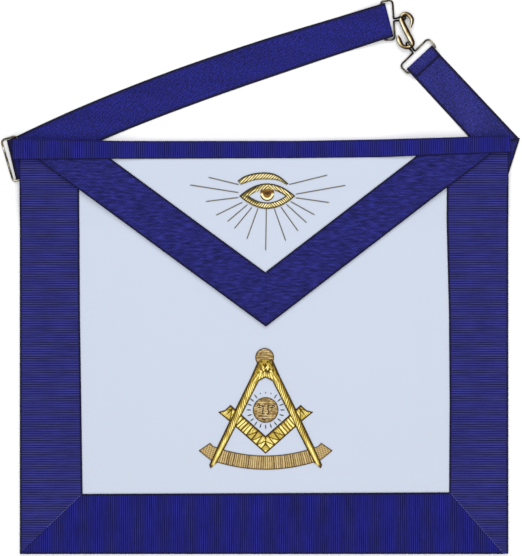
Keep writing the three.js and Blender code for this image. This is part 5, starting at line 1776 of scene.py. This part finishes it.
def plain_thread_look(name, base):
    look = Look(name)
    u, v = look.places()
    twist = ((v * (math.tau / TWIST)) + u * 900.0).sine()
    # The twist paints highlights on the thread's turns and shade between them.
    darker, lighter = [x * 0.75 for x in base], [min(1, x * 1.25) for x in base]
    shade = look.mix((twist * 0.5 + 0.5).clamped(), darker, lighter)
    look.bump(twist, strength=0.3, distance=0.0001)
    return look.finish(colour=shade, roughness=0.5, specular=0.3)


def gilt_look(name, dark, base, light, roughness, clouding):
    """Polished metal with painted shade on its flanks and painted highlights where its tone is highest,
    clouded by a noise that also varies its roughness and bump.
    """
    look = Look(name)
    geometry = look.node("ShaderNodeTexCoord").outputs["Object"]
    wear_and_glint = look.noise(geometry, scale=150.0)
    # Painted highlight and shade from the tone, clouded by the noise.
    level = look.attribute("tone") + (wear_and_glint - 0.5) * clouding
    shade = look.mix(level.ramp(0.10, 0.55), dark, base)
    shade = look.mix(level.ramp(0.55, 0.95), shade, light)
    look.bump(wear_and_glint, strength=0.05, distance=0.0002)
    return look.finish(colour=shade, roughness=wear_and_glint * 0.10 + roughness, metallic=1.0, specular=0.5)


def floor_look():
    c = settings("apron_colours")
    return Look("plain_floor").finish(colour=c.floor, roughness=0.9, specular=0.0)


# Builders
def build_cloth():
    c = settings("apron_colours")
    a = settings("apron_sizes")
    leather = leather_look()
    # These ribbon looks are copies of one ribbon that differ in painted sheen.
    sides = ribbon_look("blue_ribbon_sides", c.ribbon, **RIBBON_LOOKS["sides"])
    plain = ribbon_look("blue_ribbon_foot", c.ribbon_foot, **RIBBON_LOOKS["plain"])
    bound = ribbon_look("blue_ribbon_binding", c.ribbon_band, **RIBBON_LOOKS["plain"])
    slanted = ribbon_look("blue_ribbon_flap", c.ribbon_flap, **RIBBON_LOOKS["flap"])
    panel = finish_piece(leather_panel(), leather, "white_leather", "apron_panel")
    flap = finish_piece(leather_flap(), leather, "white_leather", "flap_panel")
    for side in ("left", "right"):
        border = finish_piece(side_border(side), sides, "blue_ribbon", "border_" + side)
        ribbon = finish_piece(flap_ribbon(side), slanted, "blue_ribbon", "flap_ribbon_" + side)
        long_edge = float(math.hypot(half(), a.flap_depth))
    bottom = finish_piece(bottom_border(), plain, "blue_ribbon", "border_bottom")
    mitre_stitches(plain_thread_look("mitre_thread", c.ribbon_stitch))
    band = finish_piece(binding(), bound, "blue_ribbon", "top_band")


def build_belt():
    c, a, b = settings("apron_colours"), settings("apron_sizes"), settings("apron_belt")
    chain = belt_layout()
    ring_gap = b.wire + 2 * a.gap
    left_tail, right_tail = heading(b.left_tail), heading(b.right_tail)
    routes = chain["long_route"], chain["short_route"]
    long_run = strap_stations(routes[0], left_tail, ring_gap, b.long_hem, True, LONG_RING["back"])
    short_run = strap_stations(routes[1], right_tail, a.gap, b.short_hem, False, SHORT_RING["back"])
    # The two webbing looks are copies of one webbing that differ in painted sheen.
    long_look = webbing_look("blue_webbing_long", c.webbing, degrees=25)
    short_look = webbing_look("blue_webbing_short", c.webbing_short, degrees=-8)
    straps = (("long", long_run, long_look), ("short", short_run, short_look))
    for which, stations, look in straps:
        piece = finish_piece(strap("webbing_" + which, stations), look, "blue_webbing", "belt_" + which)


def build_wire():
    c, a, b = settings("apron_colours"), settings("apron_sizes"), settings("apron_belt")
    gilt = gilt_look("gilt_wire", c.wire_painted_shade, c.wire, c.wire_painted_highlight, roughness=0.22, clouding=2.4)
    cast = gilt_look("gilt_casting", c.gilt_painted_shade, c.gilt, c.gilt_painted_highlight, roughness=0.25, clouding=1.0)
    chain = belt_layout()
    bar = b.thickness + a.gap + b.wire / 2
    path = bent_rectangle(b.ring_length, b.ring_depth, True)
    for which in ("long", "short"):
        pivot, out, ring = chain[which]
        made = wire_ring("wire_ring_" + which, pivot, out, path, ring["hand"], bar, b.ring_depth, RING_PAINTED_HIGHLIGHT)
        finish_piece(made, gilt, "gilt_wire", "ring_%s_belt" % which)
    ahead = corner_fold(chain["long_route"], heading(b.left_tail))[2]
    turn = b.adjuster_turn
    out = np.array((ahead[0] * math.cos(turn) - ahead[1] * math.sin(turn),
                    ahead[0] * math.sin(turn) + ahead[1] * math.cos(turn), 0.0))
    reach = (b.wire + 2 * a.gap + b.thickness) / 2 + b.thickness / 2 + b.adjuster_reach
    pivot = chain["long_route"].start + ahead * reach - out * b.adjuster_depth
    path = bent_rectangle(b.adjuster_length, b.adjuster_depth, False)
    made = wire_ring("wire_adjuster", pivot, out, path, 1, b.wire / 2, b.adjuster_depth, ADJUSTER_PAINTED_HIGHLIGHT)
    finish_piece(made, gilt, "gilt_wire", "adjuster_ring")
    finish_piece(snake_hook(chain["hook"]), cast, "gilt_wire", "snake_hook")


def build_emblem():
    c, e = settings("apron_colours"), settings("apron_embroidery")
    bright = thread_look("gold_bullion", c.gold_dark, c.gold, c.gold_light, metallic=0.35, roughness=0.38)
    laid = thread_look("gold_laid", c.tan_dark, c.tan, c.tan_light, metallic=0.25, roughness=0.5)
    dark = plain_thread_look("grey_stitch", c.sun_ray)
    brown = plain_thread_look("brown_stitch", c.sun_face)
    build_quadrant(laid)
    build_square(bright)
    build_legs(bright)
    head = emblem_point(*HEAD_PLACE)
    disc_piece("gold_compass_head", head, HEAD_RADIUS * e.emblem, e.head, laid, "compass_head", seed=41)
    centre, radius = emblem_point(SUN["down"], 0), SUN["radius"] * e.emblem
    disc_piece("gold_sun", centre, radius, e.sun, laid, "sun", seed=47, painted_highlights=SUN_HIGHLIGHTS)
    strokes = []
    for i in range(SUN_RAYS):
        degrees = 360 * i / SUN_RAYS
        way = heading(math.radians(degrees))[:2]
        low, high = SUN_REACH["dot" if round(degrees) in SUN_DOTS else "ray"]
        strokes.append((centre + way * radius * low, centre + way * radius * high))
    stitches("sun_rays", strokes, panel_top, e.stitch, SUN_RAY_HEIGHT, dark)
    face = [[centre + radius * np.array(p) for p in line] for line in SUN_FACE]

    def sun_top(x, y):
        return panel_top(x, y) + e.sun * FACE_SEAT

    stitches("sun_face", face, sun_top, *FACE_THREAD, brown)


def build_eye():
    c, e = settings("apron_colours"), settings("apron_embroidery")
    khaki = thread_look("gold_satin", c.khaki_dark, c.khaki, c.khaki_light, metallic=0.3, roughness=0.45)
    brown = thread_look("gold_iris", c.iris_dark, c.iris, c.khaki_light, metallic=0.3, roughness=0.45)
    build_lids(khaki)
    build_brow(khaki)
    build_iris(brown)
    rays = [(eye_point(x0, y0), eye_point(x1, y1)) for x0, y0, x1, y1 in RAYS]
    stitches("eye_rays", rays, flap_top, e.stitch, RAY_HEIGHT, plain_thread_look("ray_thread", c.ray))


def area_light(name, size, power, location):
    data = bpy.data.lights.new(name, "AREA")
    data.shape, data.size, data.size_y, data.energy = "RECTANGLE", size[0], size[1], power
    light = bpy.data.objects.new(name, data)
    bpy.context.scene.collection.objects.link(light)
    light.location = location
    light.rotation_euler = (-Vector(location)).to_track_quat("-Z", "Y").to_euler()
    light.visible_camera = False


def build_stage():
    s = settings("apron_stage")
    scene = bpy.context.scene
    bpy.ops.mesh.primitive_plane_add(size=FLOOR_SIZE, location=(0, 0, -FLOOR_DROP))
    floor = bpy.context.active_object
    floor.name = "floor"
    floor.data.materials.append(floor_look())
    world = bpy.data.worlds.new("sky")
    world.use_nodes = True
    background = world.node_tree.nodes["Background"]
    background.inputs["Color"].default_value = (1, 1, 1, 1)
    background.inputs["Strength"].default_value = s.world
    scene.world = world
    for name, (size, location) in LIGHTS.items():
        area_light("light_" + name, size, getattr(s, name), location)
    camera_data = bpy.data.cameras.new("camera")
    camera_data.lens, camera_data.sensor_width = s.lens, SENSOR
    camera = bpy.data.objects.new("camera", camera_data)
    scene.collection.objects.link(camera)
    camera.location = (s.aim_x, s.aim_y, s.view * s.lens / SENSOR + SCALE_HEIGHT)
    camera_data.clip_end = 20
    scene.camera = camera
    scene.view_settings.view_transform = "Standard"


class APRON_OT_cloth(Operator):
    """Build the leather, the ribbons and the binding"""

    bl_idname = "apron.cloth"
    bl_label = "Cloth"

    def execute(self, context):
        build_cloth()
        return {"FINISHED"}


class APRON_OT_belt(Operator):
    """Build the two straps of webbing"""

    bl_idname = "apron.belt"
    bl_label = "Belt"

    def execute(self, context):
        build_belt()
        return {"FINISHED"}


class APRON_OT_wire(Operator):
    """Build the wire rings and the snake hook"""

    bl_idname = "apron.wire"
    bl_label = "Rings and hook"

    def execute(self, context):
        build_wire()
        return {"FINISHED"}


class APRON_OT_emblem(Operator):
    """Build the emblem embroidered on the panel"""

    bl_idname = "apron.emblem"
    bl_label = "Emblem"

    def execute(self, context):
        build_emblem()
        return {"FINISHED"}


class APRON_OT_eye(Operator):
    """Build the eye embroidered on the flap"""

    bl_idname = "apron.eye"
    bl_label = "Eye"

    def execute(self, context):
        build_eye()
        return {"FINISHED"}


class APRON_OT_stage(Operator):
    """Build the floor, the light and the camera"""

    bl_idname = "apron.stage"
    bl_label = "Stage"

    def execute(self, context):
        build_stage()
        return {"FINISHED"}


class APRON_PT_panel(Panel):
    """Settings and builders of the apron"""

    bl_label = "Apron"
    bl_space_type = "VIEW_3D"
    bl_region_type = "UI"
    bl_category = "Apron"

    def draw(self, context):
        for operator in OPERATORS:
            self.layout.operator(operator.bl_idname)
        for key in GROUPS:
            box = self.layout.box()
            for prop in GROUPS[key].__annotations__:
                box.prop(settings(key), prop)


GROUPS = {
    "apron_sizes": ApronSizes,
    "apron_drape": DrapeSizes,
    "apron_belt": BeltSizes,
    "apron_embroidery": EmbroiderySizes,
    "apron_colours": ApronColours,
    "apron_stage": StageSettings,
}
OPERATORS = (APRON_OT_cloth, APRON_OT_belt, APRON_OT_wire, APRON_OT_emblem, APRON_OT_eye, APRON_OT_stage)


def register():
    for group in GROUPS.values():
        bpy.utils.register_class(group)
    for key, group in GROUPS.items():
        setattr(bpy.types.Scene, key, PointerProperty(type=group))
    for operator in OPERATORS:
        bpy.utils.register_class(operator)
    bpy.utils.register_class(APRON_PT_panel)


def unregister():
    bpy.utils.unregister_class(APRON_PT_panel)
    for operator in reversed(OPERATORS):
        bpy.utils.unregister_class(operator)
    for key, group in GROUPS.items():
        delattr(bpy.types.Scene, key)
        bpy.utils.unregister_class(group)


def main():
    register()
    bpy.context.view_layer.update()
    bpy.ops.apron.cloth()
    bpy.ops.apron.belt()
    bpy.ops.apron.wire()
    bpy.ops.apron.emblem()
    bpy.ops.apron.eye()
    bpy.ops.apron.stage()


if __name__ == "__main__":
    main()
